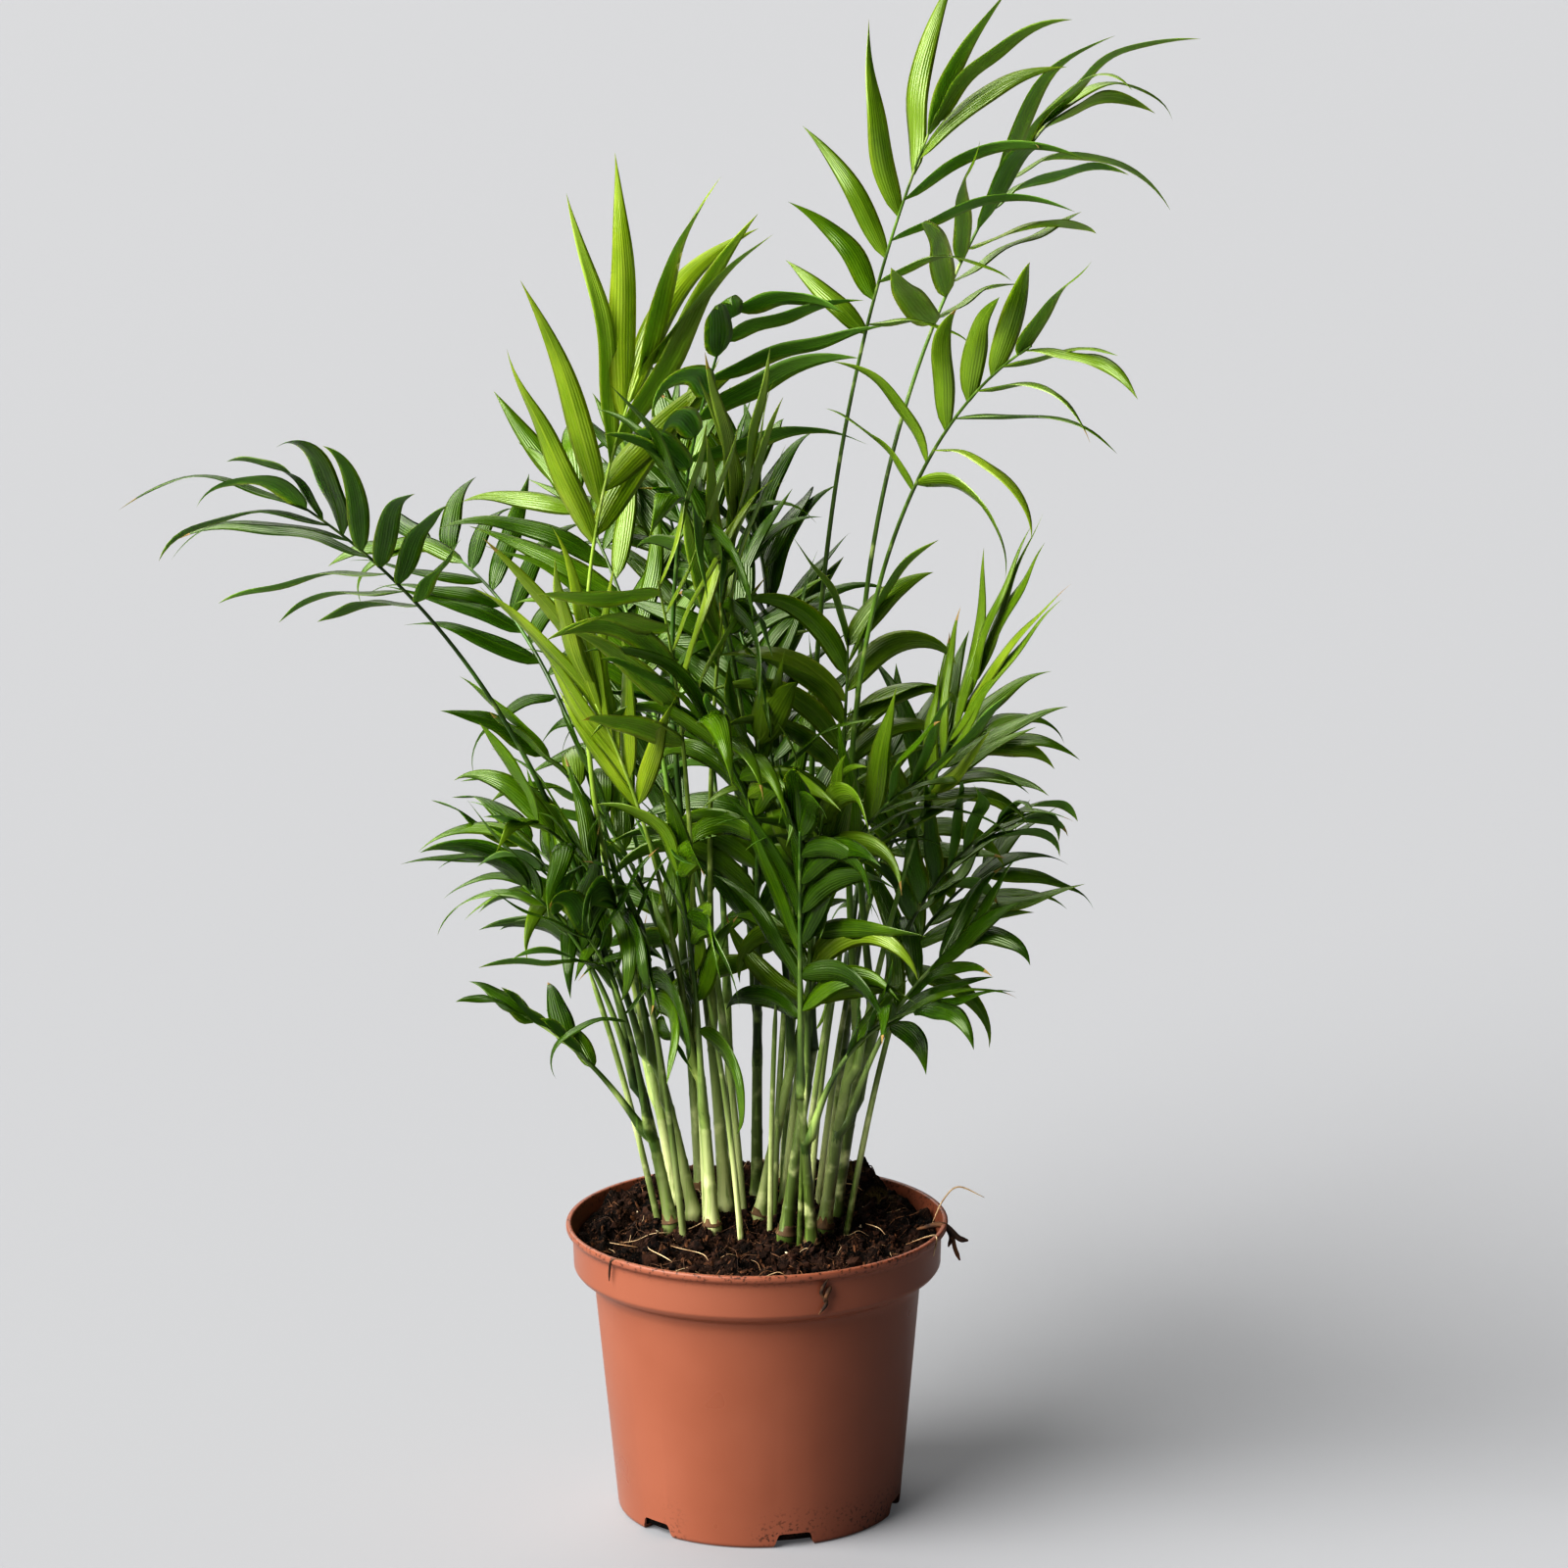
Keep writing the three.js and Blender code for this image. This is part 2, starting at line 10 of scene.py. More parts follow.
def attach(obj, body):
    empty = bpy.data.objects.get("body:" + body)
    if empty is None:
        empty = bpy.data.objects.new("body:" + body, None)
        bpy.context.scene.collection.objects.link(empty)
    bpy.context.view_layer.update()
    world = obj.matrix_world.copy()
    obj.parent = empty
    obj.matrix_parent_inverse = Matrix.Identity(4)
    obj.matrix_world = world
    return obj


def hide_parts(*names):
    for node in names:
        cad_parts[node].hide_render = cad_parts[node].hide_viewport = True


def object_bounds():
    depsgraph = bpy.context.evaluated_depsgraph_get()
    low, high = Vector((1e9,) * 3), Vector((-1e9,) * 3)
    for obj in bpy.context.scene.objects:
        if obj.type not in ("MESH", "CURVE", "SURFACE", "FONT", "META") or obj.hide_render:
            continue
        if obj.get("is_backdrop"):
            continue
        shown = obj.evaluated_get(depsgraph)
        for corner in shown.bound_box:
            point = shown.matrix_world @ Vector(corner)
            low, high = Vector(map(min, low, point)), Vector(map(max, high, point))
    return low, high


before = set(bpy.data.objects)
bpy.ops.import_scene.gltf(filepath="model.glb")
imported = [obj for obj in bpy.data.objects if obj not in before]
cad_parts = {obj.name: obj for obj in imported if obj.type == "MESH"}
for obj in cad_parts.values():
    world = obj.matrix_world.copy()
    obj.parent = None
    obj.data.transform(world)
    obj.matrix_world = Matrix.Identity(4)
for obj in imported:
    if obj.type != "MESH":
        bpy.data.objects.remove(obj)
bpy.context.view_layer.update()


# ---- Nursery pot --------------------------------------------------------------------------
# A 12 cm pot moulded in terracotta-coloured polypropylene: one thin tapered wall, a soft
# shoulder, an upright band and a rolled lip. Drain notches are open through its foot.

MM = 0.001  # sizes are in mm up to where a mesh is made


def rounded(corners, steps=6):
    """A line through (radius, height, fillet) corners, each corner rounded by its fillet."""
    line = []
    for i, (radius, height, fillet) in enumerate(corners):
        here = Vector((radius, height))
        if fillet == 0:
            line.append(here)
            continue
        before = Vector(corners[i - 1][:2]) - here
        after = Vector(corners[i + 1][:2]) - here
        first = here + before.normalized() * fillet
        last = here + after.normalized() * fillet
        for k in range(steps + 1):
            t = k / steps
            line.append(first.lerp(here, t).lerp(here.lerp(last, t), t))
    return line


def take_mesh(name, form):
    """A finished form's mesh. The form itself is let go."""
    mesh = bpy.data.meshes.new(name)
    form.to_mesh(mesh)
    form.free()
    return mesh


def revolve(name, line, sides):
    """A closed body turned from a line that starts and ends on the axis."""
    form = bmesh.new()
    rings = []
    for point in line:
        if point.x < 1e-6:
            rings.append([form.verts.new((0, 0, point.y * MM))])
            continue
        ring = []
        for k in range(sides):
            a = 2 * math.pi * k / sides
            place = (point.x * MM * math.cos(a), point.x * MM * math.sin(a), point.y * MM)
            ring.append(form.verts.new(place))
        rings.append(ring)
    for low, high in zip(rings, rings[1:]):
        for k in range(sides):
            n = (k + 1) % sides
            if len(low) == 1:
                form.faces.new((low[0], high[n], high[k]))
            elif len(high) == 1:
                form.faces.new((low[k], low[n], high[0]))
            else:
                form.faces.new((low[k], low[n], high[n], high[k]))
    bmesh.ops.recalc_face_normals(form, faces=form.faces)
    return take_mesh(name, form)


def soften(mesh, degrees):
    """Smooth shading, kept sharp over edges that turn more than the angle."""
    form = bmesh.new()
    form.from_mesh(mesh)
    for face in form.faces:
        face.smooth = True
    for edge in form.edges:
        if len(edge.link_faces) == 2:
            edge.smooth = edge.calc_face_angle(0) < math.radians(degrees)
    form.to_mesh(mesh)
    form.free()


def show(name, data):
    shown = bpy.data.objects.new(name, data)
    bpy.context.scene.collection.objects.link(shown)
    return shown


pot_height = 93.0
rim_radius = 60.0
band_radius = 57.6
band_foot = 78.0
wall_top = 51.2
base_radius = 44.8
skin = 0.9
floor_top = 1.4
shoulder = 1.1  # how far the wall steps out just under the band
pot_sides = 192
sharp_turn = 30  # degrees over which an edge stays sharp
notch_count = 6
notch_turn = 14
notch_half, notch_top_half, notch_height = 6.2, 5.0, 4.5
notch_flare = 1.2
cutter_reach = 8  # to either side of the wall

lip = pot_height - 1.8
outside = [
    (0, 0, 0),
    (base_radius - 0.2, 0, 1.6),
    (wall_top, band_foot - 5, 1.2),
    (wall_top + shoulder, band_foot - 2.6, 0.7),
    (band_radius - 1.2, band_foot - 0.4, 0.7),
    (band_radius, band_foot + 1.2, 0.6),
    (band_radius + 0.3, lip - 1.6, 1.2),
    (rim_radius, lip - 0.1, 0.9),
    (rim_radius - 0.1, pot_height, 0.75),
]
inside = [
    (rim_radius - 1.7, pot_height, 0.5),
    (rim_radius - 2.6, lip - 1.2, 0.8),
    (band_radius - skin, lip - 3.2, 1),
    (band_radius - skin - 0.1, band_foot + 1.8, 0.8),
    (wall_top + shoulder - skin, band_foot - 1.4, 0.8),
    (wall_top - skin, band_foot - 5, 1),
    (base_radius - skin, floor_top, 0.6),
    (0, floor_top, 0),
]
shell = show("pot_shell", revolve("pot_shell", rounded(outside + inside), pot_sides))
# Each notch is wider at the table, with a small round at all its corners.
notch_outline = rounded([
    (-notch_half - notch_flare, -1, 0),
    (-notch_half, 0.9, 0.8),
    (-notch_top_half, notch_height, 1.1),
    (notch_top_half, notch_height, 1.1),
    (notch_half, 0.9, 0.8),
    (notch_half + notch_flare, -1, 0),
])
cutter_form = bmesh.new()
for k in range(notch_count):
    turn = Matrix.Rotation(math.radians(notch_turn + 360 / notch_count * k), 4, "Z")
    ends = []
    for depth in (-base_radius - cutter_reach, -base_radius + cutter_reach):
        places = [turn @ Vector((p.x, depth, p.y)) * MM for p in notch_outline]
        ends.append([cutter_form.verts.new(place) for place in places])
    cutter_form.faces.new(ends[0])
    cutter_form.faces.new(ends[1][::-1])
    for i in range(len(notch_outline)):
        j = (i + 1) % len(notch_outline)
        cutter_form.faces.new((ends[0][j], ends[0][i], ends[1][i], ends[1][j]))
bmesh.ops.recalc_face_normals(cutter_form, faces=cutter_form.faces)
cutter = show("notch_cutter", take_mesh("notch_cutter", cutter_form))
cut = shell.modifiers.new("notches", "BOOLEAN")
cut.object = cutter
cut.solver = "EXACT"
cut_shell = bpy.data.meshes.new_from_object(shell.evaluated_get(bpy.context.evaluated_depsgraph_get()))
bpy.data.objects.remove(shell)
bpy.data.objects.remove(cutter)
soften(cut_shell, sharp_turn)
pot = show("nursery_pot", cut_shell)


def colour(red, green, blue):
    """A screen colour, 0 to 255, as the linear colour that sockets take."""
    parts = [c / 255 for c in (red, green, blue)]
    return tuple(c / 12.92 if c <= 0.04045 else ((c + 0.055) / 1.055) ** 2.4 for c in parts) + (1,)


def new_material(name, roughness):
    material = bpy.data.materials.new(name)
    material.use_nodes = True
    tree = material.node_tree
    shader = tree.nodes["Principled BSDF"]
    shader.inputs["Roughness"].default_value = roughness
    return material, tree, shader


def node(tree, kind, feeds=None, **settings):
    """A new node. feeds gives each of its inputs a value, or another node's output to link."""
    made = tree.nodes.new(kind)
    for name, value in settings.items():
        setattr(made, name, value)
    for place, value in (feeds or {}).items():
        if isinstance(value, bpy.types.NodeSocket):
            tree.links.new(value, made.inputs[place])
        else:
            made.inputs[place].default_value = value
    return made


def ramp(tree, source, low, high):
    """Maps a value from low..high to 0..1 with soft ends."""
    ends = {"Value": source, "From Min": low, "From Max": high}
    return node(tree, "ShaderNodeMapRange", ends, interpolation_type="SMOOTHSTEP").outputs["Result"]


def blend_colours(tree, mask, first, second):
    feeds = {"Factor": mask, 6: first, 7: second}
    return node(tree, "ShaderNodeMix", feeds, data_type="RGBA").outputs[2]


def both(tree, first, second):
    return node(tree, "ShaderNodeMath", {0: first, 1: second}, operation="MULTIPLY").outputs[0]


def own_place(tree):
    return node(tree, "ShaderNodeTexCoord").outputs["Object"]


def height_mask(tree, low, high):
    """1 above high and 0 below low, in metres up the pot."""
    return ramp(tree, node(tree, "ShaderNodeSeparateXYZ", {0: own_place(tree)}).outputs["Z"], low, high)


def add_socket(group, way, name, value=None, kind="NodeSocketFloat"):
    socket = group.interface.new_socket(name=name, in_out=way, socket_type=kind)
    if value is not None:
        socket.default_value = value


def mottle_group():
    """A mottle that dust, peat and leaves share: soft patches and fine specks."""
    group = bpy.data.node_groups.new("mottle", "ShaderNodeTree")
    add_socket(group, "INPUT", "Patch Scale", 20.0)
    add_socket(group, "INPUT", "Speck Scale", 400.0)
    add_socket(group, "OUTPUT", "Patches")
    add_socket(group, "OUTPUT", "Specks")
    enter, leave = node(group, "NodeGroupInput"), node(group, "NodeGroupOutput")
    where = own_place(group)
    for scale_name, out_name, detail in (("Patch Scale", "Patches", 3), ("Speck Scale", "Specks", 4)):
        feeds = {"Vector": where, "Scale": enter.outputs[scale_name], "Detail": detail}
        group.links.new(node(group, "ShaderNodeTexNoise", feeds).outputs["Fac"], leave.inputs[out_name])
    return group


mottle = mottle_group()


def add_mottle(tree, patch_scale, speck_scale):
    scales = {"Patch Scale": patch_scale, "Speck Scale": speck_scale}
    return node(tree, "ShaderNodeGroup", scales, node_tree=mottle).outputs


def paint(tree, shader, coat):
    tree.links.new(coat, shader.inputs["Base Color"])


def add_bump(tree, shader, height, strength, distance):
    feeds = {"Height": height, "Strength": strength, "Distance": distance}
    bump = node(tree, "ShaderNodeBump", feeds)
    tree.links.new(bump.outputs["Normal"], shader.inputs["Normal"])


plastic, tree, shader = new_material("terracotta_plastic", 0.46)
shader.inputs["Specular IOR Level"].default_value = 0.36
grain = add_mottle(tree, 22, 900)
faded = ramp(tree, grain["Patches"], 0.25, 0.75)
body_tone = blend_colours(tree, faded, colour(137, 84, 63), colour(145, 91, 70))
# Peat dust clings under the lip, and a little damp dirt to the foot.
peat_dust = ramp(tree, grain["Specks"], 0.53, 0.66)
lip_dust = both(tree, peat_dust, height_mask(tree, 0.087, 0.0935))
foot_dirt = both(tree, ramp(tree, grain["Patches"], 0.46, 0.6), height_mask(tree, 0.016, 0.002))
dusty = blend_colours(tree, lip_dust, body_tone, colour(74, 46, 35))
dirty = blend_colours(tree, both(tree, foot_dirt, peat_dust), dusty, colour(66, 44, 34))
paint(tree, shader, dirty)
tree.links.new(ramp(tree, grain["Patches"], -0.5, 2.0), shader.inputs["Roughness"])
add_bump(tree, shader, grain["Specks"], 0.06, 0.0002)
pot.data.materials.append(plastic)
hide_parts("pot")
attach(pot, "root")


# ---- Peat ---------------------------------------------------------------------------------
# Dark fibrous peat that fills the pot to just under the lip, mounded round the stems and
# heaped against the back right of the wall. It is pressed in by hand and only lies there.

soil_edge = 86.4
soil_back, back_from, back_to = 6.0, -15.0, 50.0
soil_mound = 4.0
soil_radius = 56.0
heap_x, heap_y, heap_height, heap_radius = 34.0, 38.0, 10.0, 11.0
# x, y, depth and radius of the hollows between the stems and the wall
soil_hollows = [(-40, 2, 3, 12), (40, -2, 2, 10), (-6, -16, 2, 10)]
# The peat banks up against the wall at the back.
bank_height, bank_radius, bank_width = 3.6, 51.0, 7.0
clod_rise, lump_rise, crumb_rise = 6.2, 3.4, 0.9
soil_sides, soil_rings = 300, 96
# radius and height of the rings down the side of the peat, from under the lip to the pot's floor
side_rings = [(soil_radius, 80.8), (51.2, 75), (49.6, 70), (43.2, 2.0)]


def soil_height(x, y):
    share = math.hypot(x, y) / soil_radius
    mound = soil_mound * (1 - share * share)
    lumps = math.sin(x * 0.31 + 1) * math.cos(y * 0.27 + 0.4) * max(0, share - 0.5) * 3.2
    away = math.hypot(x - heap_x, y - heap_y) / heap_radius
    heap = heap_height * math.exp(-away * away) * (1 - min(share, 1) ** 8)
    back = soil_back * max(0, y - back_from) / (back_to - back_from)
    return soil_edge + back + mound + lumps + heap


def rough_soil(x, y):
    """Crumbly peat: large clods, smaller ones between them and fine crumbs, calmer at the wall."""
    clod = noise.voronoi(Vector((x * 0.12, y * 0.12, 0.4)))[0][0]
    lump = noise.voronoi(Vector((x * 0.3 + 7, y * 0.3, 2.4)))[0][0]
    crumb = noise.fractal(Vector((x * 0.8, y * 0.8, 8.4)), 0.7, 2.0, 4)
    rough = (0.42 - clod) * clod_rise + (0.4 - lump) * lump_rise + crumb * crumb_rise
    for hollow_x, hollow_y, depth, radius in soil_hollows:
        rough -= depth * math.exp(-((x - hollow_x) ** 2 + (y - hollow_y) ** 2) / radius**2)
    out = math.hypot(x, y)
    rough += bank_height * math.exp(-(((out - bank_radius) / bank_width) ** 2)) * max(0, y) / soil_radius
    calm = min(1, max(0, (soil_radius - out) / 3))
    return soil_height(x, y) + rough * (0.5 + 0.5 * calm)


verts = [(0, 0, rough_soil(0, 0))]
for ring in range(1, soil_rings + 1):
    for k in range(soil_sides):
        a = 2 * math.pi * k / soil_sides
        r = soil_radius * ring / soil_rings
        x, y = r * math.cos(a), r * math.sin(a)
        verts.append((x, y, rough_soil(x, y)))
for radius, height in side_rings:
    for k in range(soil_sides):
        a = 2 * math.pi * k / soil_sides
        verts.append((radius * math.cos(a), radius * math.sin(a), height))
verts.append((0, 0, side_rings[-1][1]))
faces = []
bands = soil_rings + len(side_rings) - 1
last = 1 + bands * soil_sides
for k in range(soil_sides):
    n = (k + 1) % soil_sides
    faces.append((0, 1 + k, 1 + n))
    for ring in range(bands):
        low = 1 + ring * soil_sides
        faces.append((low + k, low + soil_sides + k, low + soil_sides + n, low + n))
    faces.append((last + k, len(verts) - 1, last + n))
soil_mesh = bpy.data.meshes.new("peat")
soil_mesh.from_pydata([(x * MM, y * MM, z * MM) for x, y, z in verts], [], faces)
soil_mesh.shade_smooth()
peat = show("peat", soil_mesh)

peat_look, tree, shader = new_material("peat", 0.95)
shader.inputs["Specular IOR Level"].default_value = 0.2
grain = add_mottle(tree, 110, 1300)
clumps = ramp(tree, grain["Patches"], 0.38, 0.62)
dark = blend_colours(tree, clumps, colour(13, 9, 7), colour(48, 32, 24))
flecked = blend_colours(tree, ramp(tree, grain["Specks"], 0.58, 0.7), dark, colour(90, 66, 50))
# Moss and old fibre colour the heap.
heap_span = {
    "Vector": own_place(tree), "Location": (heap_x * MM, heap_y * MM, 0.09), "Scale": (0.034, 0.026, 0.03),
}
centre = node(tree, "ShaderNodeMapping", heap_span, vector_type="TEXTURE")
near_heap = node(tree, "ShaderNodeTexGradient", {"Vector": centre.outputs[0]}, gradient_type="SPHERICAL")
on_heap = ramp(tree, near_heap.outputs["Fac"], 0.0, 0.5)
mossy = both(tree, on_heap, ramp(tree, grain["Patches"], 0.4, 0.6))
paint(tree, shader, blend_colours(tree, mossy, flecked, colour(84, 72, 38)))
add_bump(tree, shader, grain["Specks"], 1.0, 0.0015)
peat.data.materials.append(peat_look)
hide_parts("soil")
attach(peat, "root")


# ---- Peat crumbs and grit -----------------------------------------------------------------
# Loose clods and crumbs of peat, bark chips and a little white grit lie all over the surface.
# They are sprinkled by a scatter tree on the peat itself and made solid meshes.

def crumb_mesh(name, seed, narrow, squash):
    form = bmesh.new()
    bmesh.ops.create_icosphere(form, subdivisions=1, radius=1)
    dice = random.Random(seed)
    for v in form.verts:
        v.co *= 0.65 + 0.7 * dice.random()
        v.co.y *= narrow
        v.co.z *= squash
    return take_mesh(name, form)


def scatter_tree(name, material):
    """Points on the faces that look up within a reach of the axis, one turned, scaled grain on each."""
    group = bpy.data.node_groups.new(name, "GeometryNodeTree")
    add_socket(group, "INPUT", "Ground", kind="NodeSocketGeometry")
    add_socket(group, "INPUT", "Grain", kind="NodeSocketObject")
    for label, value in (
        ("Density", 1e5), ("Smallest", 0.0003), ("Largest", 0.0015), ("Upward", 0.2), ("Reach", 0.056),
    ):
        add_socket(group, "INPUT", label, value)
    add_socket(group, "INPUT", "Seed", 1, "NodeSocketInt")
    add_socket(group, "OUTPUT", "Grains", kind="NodeSocketGeometry")
    enter = node(group, "NodeGroupInput").outputs
    facing = node(group, "GeometryNodeInputNormal").outputs[0]
    upward = node(group, "ShaderNodeSeparateXYZ", {0: facing}).outputs["Z"]
    above = node(group, "FunctionNodeCompare", {0: upward, 1: enter["Upward"]})
    where = node(group, "GeometryNodeInputPosition").outputs[0]
    level = node(group, "ShaderNodeVectorMath", {0: where, 1: (1, 1, 0)}, operation="MULTIPLY")
    away = node(group, "ShaderNodeVectorMath", {0: level.outputs[0]}, operation="LENGTH")
    reached = {0: away.outputs["Value"], 1: enter["Reach"]}
    within = node(group, "FunctionNodeCompare", reached, operation="LESS_THAN")
    tests = {0: above.outputs[0], 1: within.outputs[0]}
    wanted = node(group, "FunctionNodeBooleanMath", tests, operation="AND")
    spread = node(group, "GeometryNodeDistributePointsOnFaces", {
        "Mesh": enter["Ground"], "Selection": wanted.outputs[0],
        "Density": enter["Density"], "Seed": enter["Seed"],
    })
    info = node(group, "GeometryNodeObjectInfo", {"Object": enter["Grain"]})
    any_way = {"Max": (6.28, 6.28, 6.28)}
    turn = node(group, "FunctionNodeRandomValue", any_way, data_type="FLOAT_VECTOR")
    sizes = {2: enter["Smallest"], 3: enter["Largest"], "Seed": enter["Seed"]}
    size = node(group, "FunctionNodeRandomValue", sizes)
    put = node(group, "GeometryNodeInstanceOnPoints", {
        "Points": spread.outputs["Points"], "Instance": info.outputs["Geometry"],
        "Rotation": turn.outputs[0], "Scale": size.outputs[1],
    })
    real = node(group, "GeometryNodeRealizeInstances", {0: put.outputs["Instances"]})
    coat = node(group, "GeometryNodeSetMaterial", {"Geometry": real.outputs[0], "Material": material})
    node(group, "NodeGroupOutput", {"Grains": coat.outputs[0]})
    return group


def sprinkle(name, ground, grain_mesh, material, density, smallest, largest, reach, seed):
    carrier = show(name + "_ground", ground.data.copy())
    grain = show(name + "_grain", grain_mesh)
    group = scatter_tree(name, material)
    spread = carrier.modifiers.new("scatter", "NODES")
    spread.node_group = group
    given = {
        "Grain": grain, "Density": density, "Smallest": smallest * MM, "Largest": largest * MM,
        "Reach": reach * MM, "Seed": seed,
    }
    for item in group.interface.items_tree:
        if item.item_type == "SOCKET" and item.in_out == "INPUT" and item.name in given:
            spread[item.identifier] = given[item.name]
    bpy.context.view_layer.update()
    mesh = bpy.data.meshes.new_from_object(carrier.evaluated_get(bpy.context.evaluated_depsgraph_get()))
    bpy.data.objects.remove(carrier)
    bpy.data.objects.remove(grain)
    return show(name, mesh)


def crumb_look(name, dark, light):
    material, tree, shader = new_material(name, 0.92)
    shader.inputs["Specular IOR Level"].default_value = 0.2
    grain = add_mottle(tree, 240, 1600)
    patches = ramp(tree, grain["Patches"], 0.36, 0.64)
    paint(tree, shader, blend_colours(tree, patches, dark, light))
    add_bump(tree, shader, grain["Specks"], 0.6, 0.0005)
    return material


# name, width and thickness over the length, colours, grains a square metre, smallest and largest
# and reach in mm, seed
sprinkles = [
    ("peat_clods", 0.85, 0.8, colour(16, 10, 8), colour(60, 40, 30), 24000, 0.8, 2.2, 52.5, 5),
    ("peat_crumbs", 0.8, 0.7, colour(14, 9, 7), colour(80, 55, 40), 280000, 0.25, 0.95, 55, 3),
    ("bark_chips", 0.32, 0.2, colour(40, 26, 19), colour(112, 78, 54), 26000, 0.9, 2.8, 52.5, 12),
    ("pale_grit", 0.8, 0.7, colour(170, 152, 124), colour(214, 200, 172), 2600, 0.25, 0.7, 54, 9),
]
for name, narrow, squash, dark, light, density, smallest, largest, reach, seed in sprinkles:
    look = crumb_look(name, dark, light)
    grain_mesh = crumb_mesh(name, seed, narrow, squash)
    sprinkled = sprinkle(name, peat, grain_mesh, look, density, smallest, largest, reach, seed)
    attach(sprinkled, "root")


# ---- Peat fibres --------------------------------------------------------------------------
# Fine roots and fibres lie through the peat, most of them brown and every fifth pale. A few
# hang over the rim, one root loops up in the air at the right, and a forked twig sticks out
# beside it.

fibre_count, pale_every = 230, 5
full_turn = 6.283


class Bundle:
    """Collects the vertices, faces and UVs of many like things that are joined into one mesh."""

    def __init__(self):
        self.verts, self.faces, self.uvs, self.looks, self.count = [], [], [], [], 0

    def add(self, verts, faces, uvs=None, looks=None):
        self.verts.append(verts)
        self.faces.append(faces + self.count)
        self.uvs.append(uvs)
        self.looks.append(looks)
        self.count += len(verts)

    def make(self, name, materials):
        points = np.concatenate(self.verts) * MM
        quads = np.concatenate(self.faces)
        mesh = bpy.data.meshes.new(name)
        mesh.vertices.add(len(points))
        mesh.vertices.foreach_set("co", points.ravel())
        mesh.loops.add(quads.size)
        mesh.loops.foreach_set("vertex_index", quads.ravel())
        mesh.polygons.add(len(quads))
        mesh.polygons.foreach_set("loop_start", np.arange(len(quads)) * 4)
        if self.looks[0] is not None:
            mesh.polygons.foreach_set("material_index", np.concatenate(self.looks))
        if self.uvs[0] is not None:
            layer = mesh.uv_layers.new(name="across_and_along")
            layer.data.foreach_set("uv", np.concatenate(self.uvs).ravel())
        mesh.update(calc_edges=True)
        mesh.validate()
        mesh.shade_smooth()
        for material in materials:
            mesh.materials.append(material)
        return show(name, mesh)


def ring_quads(rows, sides):
    """The corners of each face between the rows of a grid that is closed sideways."""
    index = np.arange(rows * sides).reshape(rows, sides)
    low, high = index[:-1], index[1:]
    return np.stack([low, np.roll(low, -1, 1), np.roll(high, -1, 1), high], -1)


def tube_parts(centres, radii, sides, flat_foot=False):
    """Quads of a tube round a path; each end closes on its own centre by a shrunk ring."""
    centres = np.asarray(centres)
    along = np.gradient(centres, axis=0)
    along /= np.linalg.norm(along, axis=1)[:, None]
    if flat_foot:
        along[0] = (0, 0, 1)
    lean = along[-1] if np.linalg.norm(np.cross((0, 0, 1), along[-1])) > 1e-3 else np.array((0.1, 0, 1))
    across = np.cross((0, 0, 1), lean)
    across /= np.linalg.norm(across)
    other = np.cross(along, across)
    other /= np.linalg.norm(other, axis=1)[:, None]
    a = 2 * np.pi * np.arange(sides) / sides
    ring = np.cos(a)[None, :, None] * across[None, None] + np.sin(a)[None, :, None] * other[:, None]
    body = centres[:, None] + ring * np.asarray(radii)[:, None, None]
    first, last = centres[:1, None] + ring[:1] * 1e-3, centres[-1:, None] + ring[-1:] * 1e-3
    grid = np.concatenate([first, body, last])
    return grid.reshape(-1, 3), ring_quads(len(grid), sides).reshape(-1, 4)


def thread(points, radius, steps):
    """A thin round thread, tapered at its ends, on a smooth curve through a few points."""
    points = np.array(points, float)
    spans = np.linspace(0, len(points) - 1, steps)
    padded = np.vstack([2 * points[0] - points[1], points, 2 * points[-1] - points[-2]])
    centres = []
    for place in spans:
        i = min(int(place), len(points) - 2)
        t = place - i
        a, b, c, d = padded[i : i + 4]
        bend = 2 * a - 5 * b + 4 * c - d
        swing = 3 * b - a - 3 * c + d
        centres.append(0.5 * (2 * b + (c - a) * t + bend * t**2 + swing * t**3))
    ends = np.minimum(1, 0.35 + 3 * np.minimum(spans, spans[::-1]) / spans[-1])
    return tube_parts(centres, radius * ends, 6)


dice = random.Random(21)
pale_threads, brown_threads = Bundle(), Bundle()
for number in range(fibre_count):
    a, r = dice.uniform(0, full_turn), soil_radius * 0.96 * math.sqrt(dice.random())
    x, y = r * math.cos(a), r * math.sin(a)
    turn, length = dice.uniform(0, full_turn), dice.uniform(4, 17)
    points = []
    for k in range(4):
        lift = dice.uniform(0.0, 1.3)
        if math.hypot(x, y) < soil_radius:
            points.append((x, y, rough_soil(x, y) + lift))
        turn += dice.uniform(-0.8, 0.8)
        x, y = x + math.cos(turn) * length / 3, y + math.sin(turn) * length / 3
    if len(points) > 1:
        bundle = brown_threads if number % pale_every else pale_threads
        bundle.add(*thread(points, dice.uniform(0.07, 0.2), 14))

